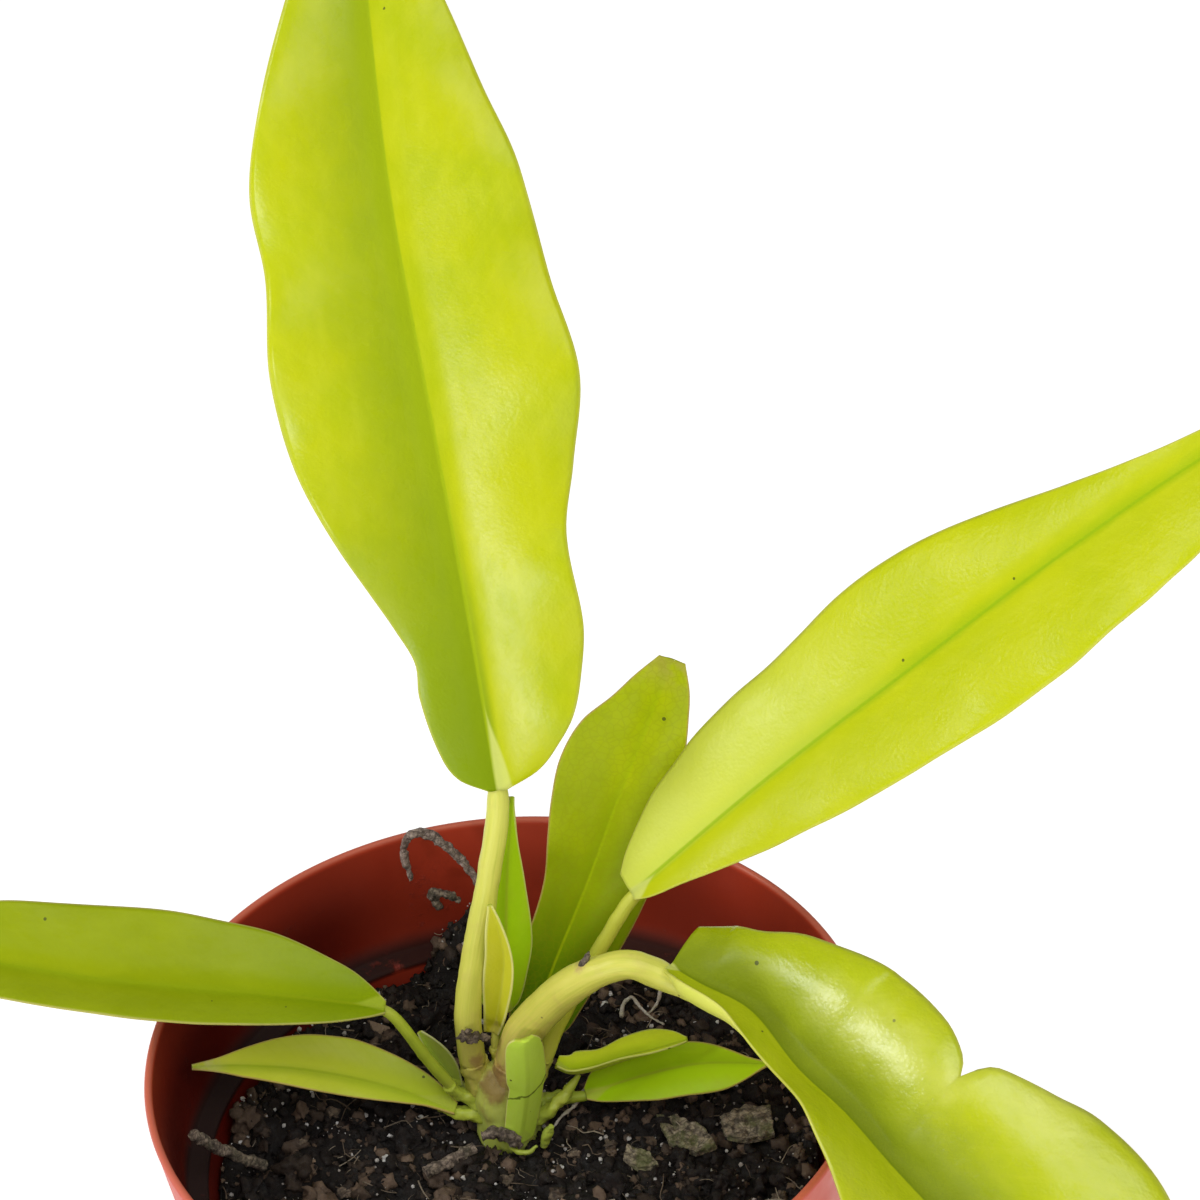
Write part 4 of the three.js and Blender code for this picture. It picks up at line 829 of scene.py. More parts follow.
organs = {
    "leaf_upright": {
        "shape": {"rows": 150, "columns": 28, "relief": 0.012, "thick": 0.55},
        "blade": {
            # Painted shade: a darker left half, strongest near the base and beside the rib.
            "wedgeLength": 0.12, "wedgeShift": 0.7, "lowShow": 0.9, "lowTo": 0.5, "gloss": 0.31,
            "valleyShadeLeft": 0.95, "valleyShadeWidth": 15.0, "valleyShadeRight": 0.08,
            "color": (0.49, 0.53, 0.001), "second": (0.42, 0.49, 0.001), "low": (0.22, 0.32, 0.001),
        },
        "stalk": {"foot": (0.56, 0.5, 0.1), "marks": [((-4.2, 5.6, 84.4), 2.4, (0.34, 0.19, 0.07), 0.75)]},
    },
    "leaf_right": {
        "shape": {"rows": 140, "columns": 24, "relief": 0.012},
        "blade": {
            "color": (0.505, 0.55, 0.003), "second": (0.465, 0.525, 0.002), "pale": (0.57, 0.61, 0.03),
            "rough": 0.28,
            "valleyShade": (0.32, 0.46, 0.001), "valleyShadeWidth": 2.2, "valleyShadeLeft": 0.6, "valleyShadeRight": 0.6,
            "wedgeLength": 0.05, "rib": (0.3, 0.45, 0.002), "gloss": 0.3, "glossFar": 0.05,
            # A pale low colour: painted sheen on the left half near the base.
            "low": (0.64, 0.7, 0.1), "lowTo": 0.5, "lowSide": -0.6, "lowShow": 0.8,
            "marks": [
                ((98.2, 8.2, 172), 1.6, (0.5, 0.27, 0.2), 0.8), ((101, 8, 173), 1.2, (0.5, 0.27, 0.2), 0.7),
            ],
        },
        "stalk": {"foot": (0.56, 0.55, 0.09), "middle": (0.58, 0.6, 0.05), "top": (0.6, 0.62, 0.07)},
    },
    "leaf_drooping": {
        "shape": {
            "rows": 150, "columns": 30, "notches": {-1: [(0.357, 2.6, 0.007)]}, "thick": 0.6, "groove": 0.05,
            "relief": 0.05,
        },
        "blade": {
            "color": (0.49, 0.55, 0.001), "second": (0.44, 0.52, 0.001), "rough": 0.22, "quilt": 0.22,
            # Painted shade over the far half, from the rib out to the lit band.
            "valleyShadeWidth": 17.0, "valleyShadeLeft": 0.95, "valleyShadeRight": 0.1, "valleyShade": (0.2, 0.26, 0.001),
            "wedgeLength": 0.02, "rib": (0.2, 0.27, 0.001), "skinDepth": 0.06, "veinShow": 0.3,
            "glossFrom": 0.36, "glossCrease": 9.0,
            "under": (0.72, 0.74, 0.13), "underSecond": (0.66, 0.7, 0.09), "gloss": 0.6,
            # Painted sheen: soft pale patches along the band where the blade catches the light.
            "sheenPatches": [
                ((46, -14, 110), 4.0, (0.7, 0.72, 0.2), 0.3), ((51, -19, 109.5), 4.5, (0.7, 0.72, 0.2), 0.35),
                ((56, -24, 108.5), 4.5, (0.7, 0.72, 0.18), 0.35),
                ((61, -28.5, 107.3), 4.2, (0.7, 0.72, 0.16), 0.35),
                ((69, -30, 107.5), 4.5, (0.72, 0.76, 0.14), 0.3),
                ((75, -34, 105.2), 5.5, (0.72, 0.76, 0.14), 0.45),
            ],
        },
        "stalk": {
            "foot": (0.58, 0.4, 0.14), "middle": (0.66, 0.62, 0.1), "top": (0.7, 0.7, 0.12),
            "blendFrom": 0.05, "blendTo": 0.5, "blotch": 0.3,
            "marks": [
                ((12.2, 1.6, 105.4), 1.7, (0.45, 0.24, 0.16), 0.6),
                ((12.4, 2, 106), 0.7, (0.1, 0.05, 0.04), 0.9),
                ((-2.8, 4.4, 83), 2.8, (0.34, 0.19, 0.07), 0.85),
            ],
        },
    },
    "leaf_left": {
        "shape": {"rows": 120, "columns": 20},
        "blade": {
            **green, "color": (0.25, 0.31, 0.001), "second": (0.28, 0.34, 0.002), "edge": (0.45, 0.4, 0.12),
            "pale": (0.34, 0.4, 0.01), "vein": (0.3, 0.38, 0.005), "valleyShade": (0.2, 0.29, 0.002),
            "low": (0.18, 0.28, 0.001), "lowShow": 0.6, "rib": (0.25, 0.32, 0.002), "gloss": 0.18,
            "wedgeLength": 0.07, "wedge": (0.34, 0.42, 0.03),
        },
        "stalk": {"foot": (0.42, 0.5, 0.06), "middle": (0.38, 0.48, 0.03), "top": (0.42, 0.5, 0.04)},
    },
    "leaf_low_left": {
        "shape": {"rows": 90, "columns": 16},
        "blade": {
            **green, "color": (0.6, 0.67, 0.04), "second": (0.64, 0.69, 0.06), "pale": (0.7, 0.71, 0.12),
            "tip": (0.6, 0.58, 0.24), "tipFrom": 0.85, "lowShow": 0.7, "lowTo": 0.7, "low": (0.38, 0.5, 0.02),
        },
        "stalk": {"foot": (0.42, 0.5, 0.05), "middle": (0.42, 0.5, 0.05), "top": (0.44, 0.52, 0.05)},
    },
    "leaf_cupped": {
        "shape": {"rows": 70, "columns": 14, "stalkEnd": 0.16, "ripple": 0.2},
        "blade": {
            **green, "color": (0.66, 0.78, 0.02), "second": (0.7, 0.8, 0.03), "under": (0.7, 0.84, 0.05),
            "underSecond": (0.64, 0.79, 0.03), "edge": (0.62, 0.64, 0.2), "edgeWidth": 0.25, "lowShow": 0.0,
        },
        "stalk": {"foot": (0.42, 0.52, 0.06), "middle": (0.42, 0.5, 0.05), "top": (0.42, 0.5, 0.05)},
    },
    "leaf_low_right": {
        "shape": {"rows": 90, "columns": 16},
        "blade": {
            **green, "color": (0.42, 0.66, 0.003), "second": (0.47, 0.7, 0.005), "low": (0.3, 0.54, 0.002),
        },
        "stalk": {"foot": (0.4, 0.5, 0.06), "middle": (0.38, 0.48, 0.04), "top": (0.35, 0.47, 0.03)},
    },
    "leaf_back": {
        "shape": {"rows": 110, "columns": 20},
        "blade": {
            **green, "color": (0.46, 0.53, 0.001), "second": (0.34, 0.41, 0.002), "pale": (0.48, 0.53, 0.02),
            "veinShow": 0.25, "gloss": 0.16, "tip": (0.4, 0.38, 0.05), "tipFrom": 0.9, "rough": 0.4,
            "rib": (0.4, 0.5, 0.003), "ribWidth": 0.3, "wedgeLength": 0.05,
            "low": (0.1, 0.21, 0.001), "lowTo": 0.75, "lowShow": 1.0,
            "netShow": 0.3, "net": (0.28, 0.3, 0.005), "valleyShadeLeft": 0.2, "valleyShadeRight": 0.0,
            "marks": [
                ((26.2, 22, 126), 0.5, (0.02, 0.01, 0.005), 1.0),
                ((29.4, 26, 131), 0.35, (0.02, 0.01, 0.005), 1.0),
            ],
        },
        "stalk": {"foot": (0.4, 0.48, 0.05), "middle": (0.36, 0.47, 0.02), "top": (0.32, 0.43, 0.01)},
    },
    "leaf_slender": {
        "shape": {"rows": 80, "columns": 12, "ripple": 0.2},
        "blade": {
            **green, "color": (0.36, 0.6, 0.003), "second": (0.42, 0.64, 0.005), "edge": (0.66, 0.66, 0.22),
            "tip": (0.1, 0.05, 0.02), "tipFrom": 0.955,
        },
        "stalk": {"foot": (0.42, 0.52, 0.05), "middle": (0.36, 0.52, 0.02), "top": (0.32, 0.5, 0.01)},
    },
    "sheath_tall": {
        "shape": {"rows": 70, "columns": 12, "ripple": 0.3, "thick": 0.4, "groove": 0.0},
        "blade": {
            **green, "color": (0.62, 0.6, 0.03), "second": (0.56, 0.56, 0.02), "pale": (0.68, 0.65, 0.1),
            "edge": (0.78, 0.76, 0.3), "wedge": (0.66, 0.62, 0.1), "rib": (0.58, 0.58, 0.05), "lowShow": 0.0,
            "under": (0.64, 0.62, 0.1), "underSecond": (0.6, 0.6, 0.07), "glow": 0.25, "specks": 0.02,
            "valleyShadeLeft": 0.0, "valleyShadeRight": 0.0, "edgeWidth": 0.5,
        },
        "stalk": {},
    },
    "sheath_left": {
        "shape": {"rows": 50, "columns": 10, "ripple": 0.2, "thick": 0.4, "groove": 0.0},
        "blade": {
            **green, "color": (0.36, 0.43, 0.07), "second": (0.32, 0.4, 0.05), "edge": (0.6, 0.6, 0.3),
            "rib": (0.34, 0.42, 0.06), "specks": 0.02,
        },
        "stalk": {"foot": (0.42, 0.5, 0.08), "middle": (0.4, 0.47, 0.08), "top": (0.38, 0.46, 0.08)},
    },
    "stub_torn": {
        "shape": {"rows": 70, "columns": 14, "ripple": 0.1, "thick": 0.9, "groove": 0.0, "stalkEnd": 0.18},
        "blade": {
            **green, "color": (0.52, 0.74, 0.06), "second": (0.58, 0.78, 0.08), "pale": (0.66, 0.8, 0.14),
            "edge": (0.7, 0.6, 0.24), "edgeWidth": 0.2, "rib": (0.45, 0.63, 0.05),
            "wedge": (0.48, 0.64, 0.07), "rough": 0.6, "gloss": 0.3, "veinDepth": 0.0, "quilt": 0.15,
            "valleyShadeLeft": 0.0, "valleyShadeRight": 0.0,
            "tearAt": 9.6, "tearShow": 0.85, "lowShow": 0.0,
        },
        "stalk": {"foot": (0.4, 0.46, 0.07), "middle": (0.38, 0.45, 0.06), "top": (0.36, 0.44, 0.05)},
    },
}
crown = {
    "centre": (-1, 7.5, 74), "cut": 9.65, "collarOver": 0.07, "collarPast": 0.5,
    "stem": [(-1, 7.5, 62), (-1, 7.5, 66), (-1, 7.5, 76), (-1.6, 7.5, 80), (-1.8, 7.5, 82.5)],
    "stemRadii": [[0, 4.2], [0.25, 4.7], [0.5, 4.7], [0.75, 3.6], [1, 1.2]],
    "skin": {
        "foot": (0.42, 0.5, 0.1), "middle": (0.46, 0.53, 0.1), "top": (0.56, 0.58, 0.12), "blotch": 0.5,
        "stain": (0.36, 0.24, 0.08), "marks": [((-3.2, 4.2, 81), 3.4, (0.3, 0.17, 0.06), 0.8)],
    },
}


def evenly(radii):
    return [[i / (len(radii) - 1), radius] for i, radius in enumerate(radii)]


# The stalk runs into the under face of its blade. Cut is the share at which it leaves the crown.
def stalkOf(form):
    rib = densePath(form["rib"])
    at = np.array([form["stalkEnd"]])
    middle, along = pathAt(rib, at), pathAlong(rib, at)
    face = facingAt(form, at, along)[0]
    radius = form["stalk"][-1][3]
    end = middle[0] - face * (radius + form["thick"])
    knots = [list(p) for p in form["stalk"]] + [[*end, 0.4 * radius]]
    knots[-2][:3] = np.array(knots[-2][:3]) - face * 0.85 * radius
    path = densePath(knots)
    away = np.linalg.norm(path["spots"] - np.array(crown["centre"]), axis=1)
    inside = np.nonzero(away < crown["cut"])[0]
    return path, evenly([p[3] for p in knots]), path["lengths"][inside[-1]] / path["whole"]


print("leaves and stalks")
crownPiece = Piece("crown_base")
crownMaterials = []
for name, organ in organs.items():
    form = {**shapeDefaults, **leafForms[name], **organ["shape"]}
    look = {**bladeLook, **organ["blade"]}
    upper, under = makeBladeMaterial(name + "_face", look), makeUnderMaterial(name + "_under", look)
    stalk = makeStalkMaterial(name + "_stalk", {**stalkLook, **organ["stalk"]})
    piece = Piece(name + "_dressed")
    piece.add(**bladeBody(form))
    path, radii, cut = stalkOf(form)
    piece.add(**tubeBody(path, radii, 20, 60, (3.0, 0.12), start=cut), slots=2)
    piece.build([upper, under, stalk], [name])
    collar = [[knot, radius + crown["collarOver"]] for knot, radius in radii]
    end = min(1.0, cut + crown["collarPast"] / path["whole"])
    crownPiece.add(**tubeBody(path, collar, 28, 30, (1.6, 0.4), end=end), slots=len(crownMaterials))
    crownMaterials.append(stalk)

print("crown")
stem = tubeBody(densePath(crown["stem"]), crown["stemRadii"], 40, 60, (3.5, 0.5))
crownPiece.add(**{**stem, "flat": ()}, slots=len(crownMaterials))
crownMaterials.append(makeStalkMaterial("crown_skin", {**stalkLook, **crown["skin"]}))
crownPiece.build(crownMaterials, ["crown"])

# The pot: one turned wall with a rolled lip, an inner ledge and a drained floor
pot = {
    "sides": 224,
    "profile": [
        (0, 0), (20, 0), (34.9, 0), (35.6, 0.15), (36.2, 0.6), (36.4, 1.2), (41.4, 34), (46.5, 69.6),
        (46.9, 70.05), (48.8, 70.3), (49.25, 70.6), (50.4, 78), (51.5, 85), (52.3, 90.6), (52.5, 91.2),
        (52.44, 91.6),
        (52.25, 91.88), (51.95, 92), (51.65, 91.92), (51.42, 91.66), (51.3, 91.2), (50.2, 84.5), (49.1, 77.5),
        (48.25, 72.5), (48.1, 72.2), (47.8, 72.05), (46, 71.75), (45.6, 71.6), (45.4, 71.25), (40.3, 35),
        (35.35, 2.6), (35.1, 2.1), (34.6, 1.8), (20, 1.8), (0, 1.8),
    ],
    "holes": 8, "holeRadius": 3.5, "holeCircle": 26,
    # Besides the plastic's own colours: painted shade for the inner wall, a painted highlight for the top of
    # the lip, and the colour of the dirt.
    "color": (0.56, 0.058, 0.024), "second": (0.5, 0.048, 0.019), "deep": (0.085, 0.004, 0.0015),
    "lipHighlight": (0.62, 0.19, 0.12), "dirt": (0.007, 0.004, 0.003),
}


# Dirt lies on the ledge and is splashed on the wall above it. Painted shade darkens the wall inside and below
# the lip, more so at its left and right.
def makePotMaterial(look):
    ink = Ink("brick_red_plastic", look["color"])
    x, y, height = ink.put("ShaderNodeSeparateXYZ", {0: ink.place}).outputs

    def rising(low, high, *ends):
        return ink.spread(height, low * mm, high * mm, *ends)

    ink.tint(look["second"], ink.spread(ink.mottle(25, 3), 0.35, 0.7))
    # Painted highlight: a lighter band along the top of the lip.
    ink.tint(look["lipHighlight"], rising(91.2, 91.9), 0.55)
    radial = ink.put("ShaderNodeCombineXYZ", {0: x, 1: y, 2: 0.0}).outputs[0]
    radial = ink.put("ShaderNodeVectorMath", {0: radial}, operation="NORMALIZE").outputs[0]
    facing = ink.put("ShaderNodeNewGeometry").outputs["Normal"]
    outward = ink.put("ShaderNodeVectorMath", {0: radial, 1: facing}, operation="DOT_PRODUCT")
    within = ink.calc("LESS_THAN", outward.outputs["Value"], 0.4)
    within = ink.times(within, ink.calc("GREATER_THAN", height, 1.5 * mm))
    ledge = ink.times(rising(70.6, 71.4), rising(76, 71.9), ink.spread(ink.mottle(5, 5, 0.65), 0.2, 0.4))
    splash = ink.times(ink.spread(ink.mottle(8, 4), 0.5, 0.72), rising(90, 74, 0.0, 0.5))
    splash = ink.times(splash, ink.spread(ink.mottle(1.1, 4, 0.7), 0.52, 0.62))
    dirt = ink.times(ink.calc("MAXIMUM", ledge, splash), within)
    # Painted shade inside the wall, darkening it below the lip and more so towards its left and right.
    left, right = ink.spread(x, -6 * mm, -30 * mm, 0.3, 0.97), ink.spread(x, 5 * mm, 30 * mm, 0.0, 0.35)
    sideways = ink.calc("ADD", left, right)
    ink.tint(look["deep"], rising(91.9, 80, 0.6, 1.0), within, rising(91.7, 90.7), sideways)
    ink.tint(look["dirt"], dirt, 0.9)
    rough = ink.spread(ink.mottle(9, 4), 0.3, 0.7, 0.36, 0.48)
    ink.give("Roughness", ink.calc("MULTIPLY_ADD", dirt, 0.4, rough, clamp=True))
    ink.give("Specular IOR Level", 0.35)
    ink.bump([(ink.mottle(0.5, 3), 0.02), (ink.mottle(14, 2), 0.25), (dirt, 0.25)])
    return ink.finish()


def circle(count, radius, phase=0.0):
    turns = [tau * (k + phase) / count for k in range(count)]
    return [(radius * math.cos(turn), radius * math.sin(turn)) for turn in turns]


# Two rings of faces' corners, or a ring and a single corner, joined all the way round
def joinRings(low, high):
    sides = max(len(low), len(high))
    faces = []
    for k in range(sides):
        n = (k + 1) % sides
        if len(low) == 1:
            faces.append([low[0], high[n], high[k]])
        elif len(high) == 1:
            faces.append([low[k], low[n], high[0]])
        else:
            faces.append([low[k], low[n], high[n], high[k]])
    return faces


def turnedMesh(name, profile, sides):
    points, faces, rings = [], [], []
    for radius, z in profile:
        ring = circle(sides, radius) if radius else [(0, 0)]
        rings.append(range(len(points), len(points) + len(ring)))
        points.extend((x, y, z) for x, y in ring)
    for low, high in zip(rings, rings[1:]):
        faces.extend(joinRings(low, high))
    return newMesh(name, points, faces)


def evaluated(obj):
    return bpy.data.meshes.new_from_object(obj.evaluated_get(bpy.context.evaluated_depsgraph_get()))


print("pot")
potObject = bpy.data.objects.new("pot_dressed", turnedMesh("pot_dressed", pot["profile"], pot["sides"]))
drills = bmesh.new()
for x, y in circle(pot["holes"], pot["holeCircle"], 0.5):
    bmesh.ops.create_cone(
        drills, cap_ends=True, segments=40, radius1=pot["holeRadius"] * mm, radius2=pot["holeRadius"] * mm,
        depth=8 * mm, matrix=Matrix.Translation(Vector((x, y, 1)) * mm),
    )
drillObject = bpy.data.objects.new("drills", meshOf(drills, "drills"))
scene.collection.objects.link(drillObject)
scene.collection.objects.link(potObject)
cut = potObject.modifiers.new("holes", "BOOLEAN")
cut.operation, cut.solver, cut.object = "DIFFERENCE", "EXACT", drillObject
finished = evaluated(potObject)
potObject.modifiers.remove(cut)
potObject.data = finished
bpy.data.objects.remove(drillObject)
finished.materials.clear()
finished.materials.append(makePotMaterial(pot))
finished.shade_smooth()
finished.set_sharp_from_angle(angle=math.radians(50))
finishPiece(potObject, ["pot"])

# Soil: the same drifts, hollows and level beds as in the part's source, with loose matter over them
soil = {
    "level": 70.6, "radius": 44.28, "rings": 120, "sectors": 240, "foot": 2.1,
    "wall": [(33.6, 2.1), (34.7, 2.8), (40.2, 40.0), (44.2, 66.0)],
    "lumps": [(0.5, 0.31, -0.47), (0.45, 0.62, 0.5), (0.35, -0.55, 0.7), (0.3, 0.9, 0.83)],
    "hills": [((-4.6, 44), 9.5, 12), ((-43, 2), 15, -3.4), ((1, 4.5), 16, -0.7)],
    "beds": [((24.9, 1), 11), ((34.4, 2.4), 11), ((18.1, -3.2), 11), ((-1, 7.5), 17)],
    "stem": (-1, 7.5), "stemHole": 5.0, "stemFoot": 62,
    "groundStep": 0.8, "groundRadius": 44.4, "groundHole": 4.6,
}
# Names of the materials, with a dark, a second and a light colour
soilColors = {
    "damp_soil": [(0.004, 0.0025, 0.002), (0.012, 0.008, 0.006), (0.06, 0.04, 0.03)],
    "crumbs": [(0.004, 0.0024, 0.0019), (0.02, 0.0125, 0.009), (0.15, 0.1, 0.066)],
    "pale_grit": [(0.35, 0.31, 0.27), (0.6, 0.58, 0.55), (0.75, 0.74, 0.72)],
    "bark_bits": [(0.016, 0.01, 0.007), (0.05, 0.032, 0.022), (0.3, 0.21, 0.14)],
    "loose_fibres": [(0.1, 0.07, 0.045), (0.2, 0.15, 0.1), (0.45, 0.38, 0.28)],
}


def swell(x, y, spot, reach):
    away = math.hypot(x - spot[0], y - spot[1]) / reach
    return (1 - away * away) ** 2 if away < 1 else 0.0


def soilHeight(x, y):
    lumps = sum(size * math.sin(perX * x + perY * y) for size, perX, perY in soil["lumps"])
    calm = min(1.0, 1.6 * max(swell(x, y, spot, reach) for spot, reach in soil["beds"]))
    return soil["level"] + lumps * (1 - calm) + sum(h * swell(x, y, spot, r) for spot, r, h in soil["hills"])


def crumbled(x, y):
    spot = Vector((x, y, 3.0))
    coarse = 0.9 * noise.fractal(spot / 5.0, 0.9, 2.1, 3)
    fine = 0.45 * noise.fractal(spot / 1.3, 0.8, 2.1, 3)
    return soilHeight(x, y) - 0.5 + coarse + fine


# Tone is the random number that the scattered shapes carry: the highest ones are light
def makeSoilMaterial(name, dark, second, light):
    ink = Ink(name, dark)
    ink.tint(second, ink.spread(ink.mottle(1.6, 5, 0.65), 0.35, 0.7))
    ink.tint(light, ink.spread(ink.attribute("tone", "Fac"), 0.55, 1.0))
    ink.tint(light, ink.spread(ink.mottle(0.35, 4, 0.7), 0.6, 0.75), 0.5)
    ink.give("Roughness", ink.spread(ink.mottle(0.8, 3), 0.35, 0.65, 0.38, 0.9))
    ink.give("Specular IOR Level", 0.32)
    ink.bump([(ink.mottle(0.9, 5, 0.7), 0.45), (ink.mottle(0.2, 3), 0.08)])
    return ink.finish()


def makeSoilBody(material):
    sectors, stem = soil["sectors"], soil["stem"]
    points = [(x, y, height) for radius, height in soil["wall"] for x, y in circle(sectors, radius)]
    for i in range(soil["rings"]):
        inward = i / soil["rings"]
        sunk = 0.8 * (1 - min(1.0, i / 3))
        for x, y in circle(sectors, soil["radius"] * (1 - inward) + soil["stemHole"] * inward):
            x, y = x + stem[0] * inward, y + stem[1] * inward
            points.append((x, y, crumbled(x, y) - sunk))
    rings = [range(start, start + sectors) for start in range(0, len(points), sectors)]
    rings = [[len(points)], *rings, [len(points) + 1]]
    points += [(0, 0, soil["foot"]), (*stem, soil["stemFoot"])]
    faces = []
    for low, high in zip(rings, rings[1:]):
        faces.extend(joinRings(low, high))
    mesh = newMesh("soil_bed", points, faces)
    mesh.materials.append(material)
    mesh.shade_smooth()
    return bpy.data.objects.new("soil_bed", mesh)


print("soil")
soilMaterials = {name: makeSoilMaterial(name, *colors) for name, colors in soilColors.items()}
finishPiece(makeSoilBody(soilMaterials["damp_soil"]), ["soil"])


# An open sheet on the soil, from which the loose matter is scattered
def makeGround():
    step, reach, stem = soil["groundStep"], soil["groundRadius"], soil["stem"]
    points, faces, index = [], [], {}
    count = int(reach / step)
    for i in range(-count, count + 1):
        for j in range(-count, count + 1):
            x, y = i * step, j * step
            if math.hypot(x, y) > reach or math.hypot(x - stem[0], y - stem[1]) < soil["groundHole"]:
                continue
            index[i, j] = len(points)
            points.append((x, y, crumbled(x, y)))
    for (i, j), a in index.items():
        corners = [index.get((i + 1, j)), index.get((i + 1, j + 1)), index.get((i, j + 1))]
        if None not in corners:
            faces.append([a, *corners])
    return newMesh("ground", points, faces)


def lumpShape(name, level, seed, rough, squash=(1, 1, 1)):
    shape = bmesh.new()
    bmesh.ops.create_icosphere(shape, subdivisions=level, radius=mm)
    for vert in shape.verts:
        spot = vert.co / mm
        grown = 1 + rough * noise.fractal(spot * 1.4 + Vector((seed, 0, 0)), 1.0, 2.0, 3)
        vert.co = Vector(spot[c] * grown * squash[c] for c in range(3)) * mm
    return meshOf(shape, name)


# A face made into a closed slab: its copy is raised by so much
def thicken(shape, corners, height):
    face = shape.faces.new([shape.verts.new(corner) for corner in corners])
    raised = bmesh.ops.extrude_face_region(shape, geom=[face])["geom"]
    for vert in raised:
        if isinstance(vert, bmesh.types.BMVert):
            vert.co.z += height


def flakeShape(name, seed):
    draw = random.Random(seed)
    corners = []
    for x, y in circle(7, 1):
        x, y = x * draw.uniform(0.6, 1.5), y * draw.uniform(0.4, 0.8)
        corners.append(Vector((x, y, draw.uniform(-0.12, 0.12))) * mm)
    shape = bmesh.new()
    thicken(shape, corners, 0.3 * mm)
    bmesh.ops.recalc_face_normals(shape, faces=shape.faces)
    return meshOf(shape, name)


def fibreShape(name, seed):
    draw = random.Random(seed)
    spots = [[-1, 0, 0]]
    for _ in range(4):
        last = spots[-1]
        spots.append([last[0] + 0.5, last[1] + draw.uniform(-0.35, 0.35), draw.uniform(-0.05, 0.25)])
    body = tubeBody(densePath(spots, 40), [[0, 0.045], [1, 0.02]], 4, 8)
    mesh = newMesh(name, body["points"].tolist(), body["faces"])
    mesh.shade_smooth()
    return mesh


# Geometry Nodes: shapes dropped at random over the ground, turned and sized at random
def makeScatterTree():
    ink, take, out = newGroup(
        "GeometryNodeTree", "scatter_over_soil",
        {
            "Ground": "NodeSocketGeometry", "Shapes": "NodeSocketCollection", "Finish": "NodeSocketMaterial",
            "Per Square Metre": floatKind, "Smallest": floatKind, "Largest": floatKind, "Tilt": floatKind,
            "Lift": floatKind, "Kinds": "NodeSocketInt", "Seed": "NodeSocketInt",
        },
        {"Geometry": "NodeSocketGeometry"},
    )

    def draw(number, kind, ends=None):
        inputs = {"Seed": ink.calc("ADD", take["Seed"], float(number)), **(ends or {})}
        return ink.put("FunctionNodeRandomValue", inputs, data_type=kind).outputs

    drop = ink.put("GeometryNodeDistributePointsOnFaces", {
        "Mesh": take["Ground"], "Density": take["Per Square Metre"], "Seed": take["Seed"],
    })
    lift = ink.put("ShaderNodeCombineXYZ", {2: take["Lift"]}).outputs[0]
    raised = ink.put("GeometryNodeSetPosition", {"Geometry": drop.outputs["Points"], "Offset": lift})
    kinds = ink.put("GeometryNodeCollectionInfo", {
        "Collection": take["Shapes"], "Separate Children": True, "Reset Children": True,
    })
    back = ink.times(take["Tilt"], -1.0)
    least = ink.put("ShaderNodeCombineXYZ", {0: back, 1: back, 2: 0.0}).outputs[0]
    most = ink.put("ShaderNodeCombineXYZ", {0: take["Tilt"], 1: take["Tilt"], 2: tau}).outputs[0]
    turn = draw(1, "FLOAT_VECTOR", ends={0: least, 1: most})[0]
    size = ink.put("ShaderNodeMapRange", {
        "Value": ink.calc("POWER", draw(2, "FLOAT")[1], 2.5),
        "To Min": take["Smallest"], "To Max": take["Largest"],
    })
    placed = ink.put("GeometryNodeInstanceOnPoints", {
        "Points": raised.outputs[0], "Instance": kinds.outputs[0], "Pick Instance": True,
        "Instance Index": draw(3, "INT", ends={4: 0, 5: take["Kinds"]})[2],
        "Rotation": turn, "Scale": size.outputs[0],
    })
    toned = ink.put("GeometryNodeStoreNamedAttribute", {
        "Geometry": placed.outputs[0], "Name": "tone", "Value": draw(4, "FLOAT")[1],
    }, data_type="FLOAT", domain="INSTANCE")
    real = ink.put("GeometryNodeRealizeInstances", {"Geometry": toned.outputs[0]})
    done = ink.put("GeometryNodeSetMaterial", {"Geometry": real.outputs[0], "Material": take["Finish"]})
    ink.join(done.outputs[0], out[0])
    return ink.tree


scatterTree = makeScatterTree()
groundMesh = makeGround()


def scatter(name, shapes, material, smooth, **values):
    collection = bpy.data.collections.new(name + "_shapes")
    for mesh in shapes:
        collection.objects.link(bpy.data.objects.new(mesh.name, mesh))
    carrier = bpy.data.objects.new(name + "_carrier", groundMesh)
    scene.collection.objects.link(carrier)
    modifier = carrier.modifiers.new("scatter", "NODES")
    modifier.node_group = scatterTree
    given = {"Shapes": collection, "Finish": material, "Kinds": len(shapes) - 1, **values}
    for item in scatterTree.interface.items_tree:
        if item.in_out == "INPUT" and item.name in given:
            modifier[item.identifier] = given[item.name]
    mesh = evaluated(carrier)
    mesh.name = name
    bpy.data.objects.remove(carrier)
    for obj in list(collection.objects):
        bpy.data.objects.remove(obj)
    if smooth:
        mesh.shade_smooth()
    print(" ", name, len(mesh.polygons), "faces")
    finishPiece(bpy.data.objects.new(name, mesh))


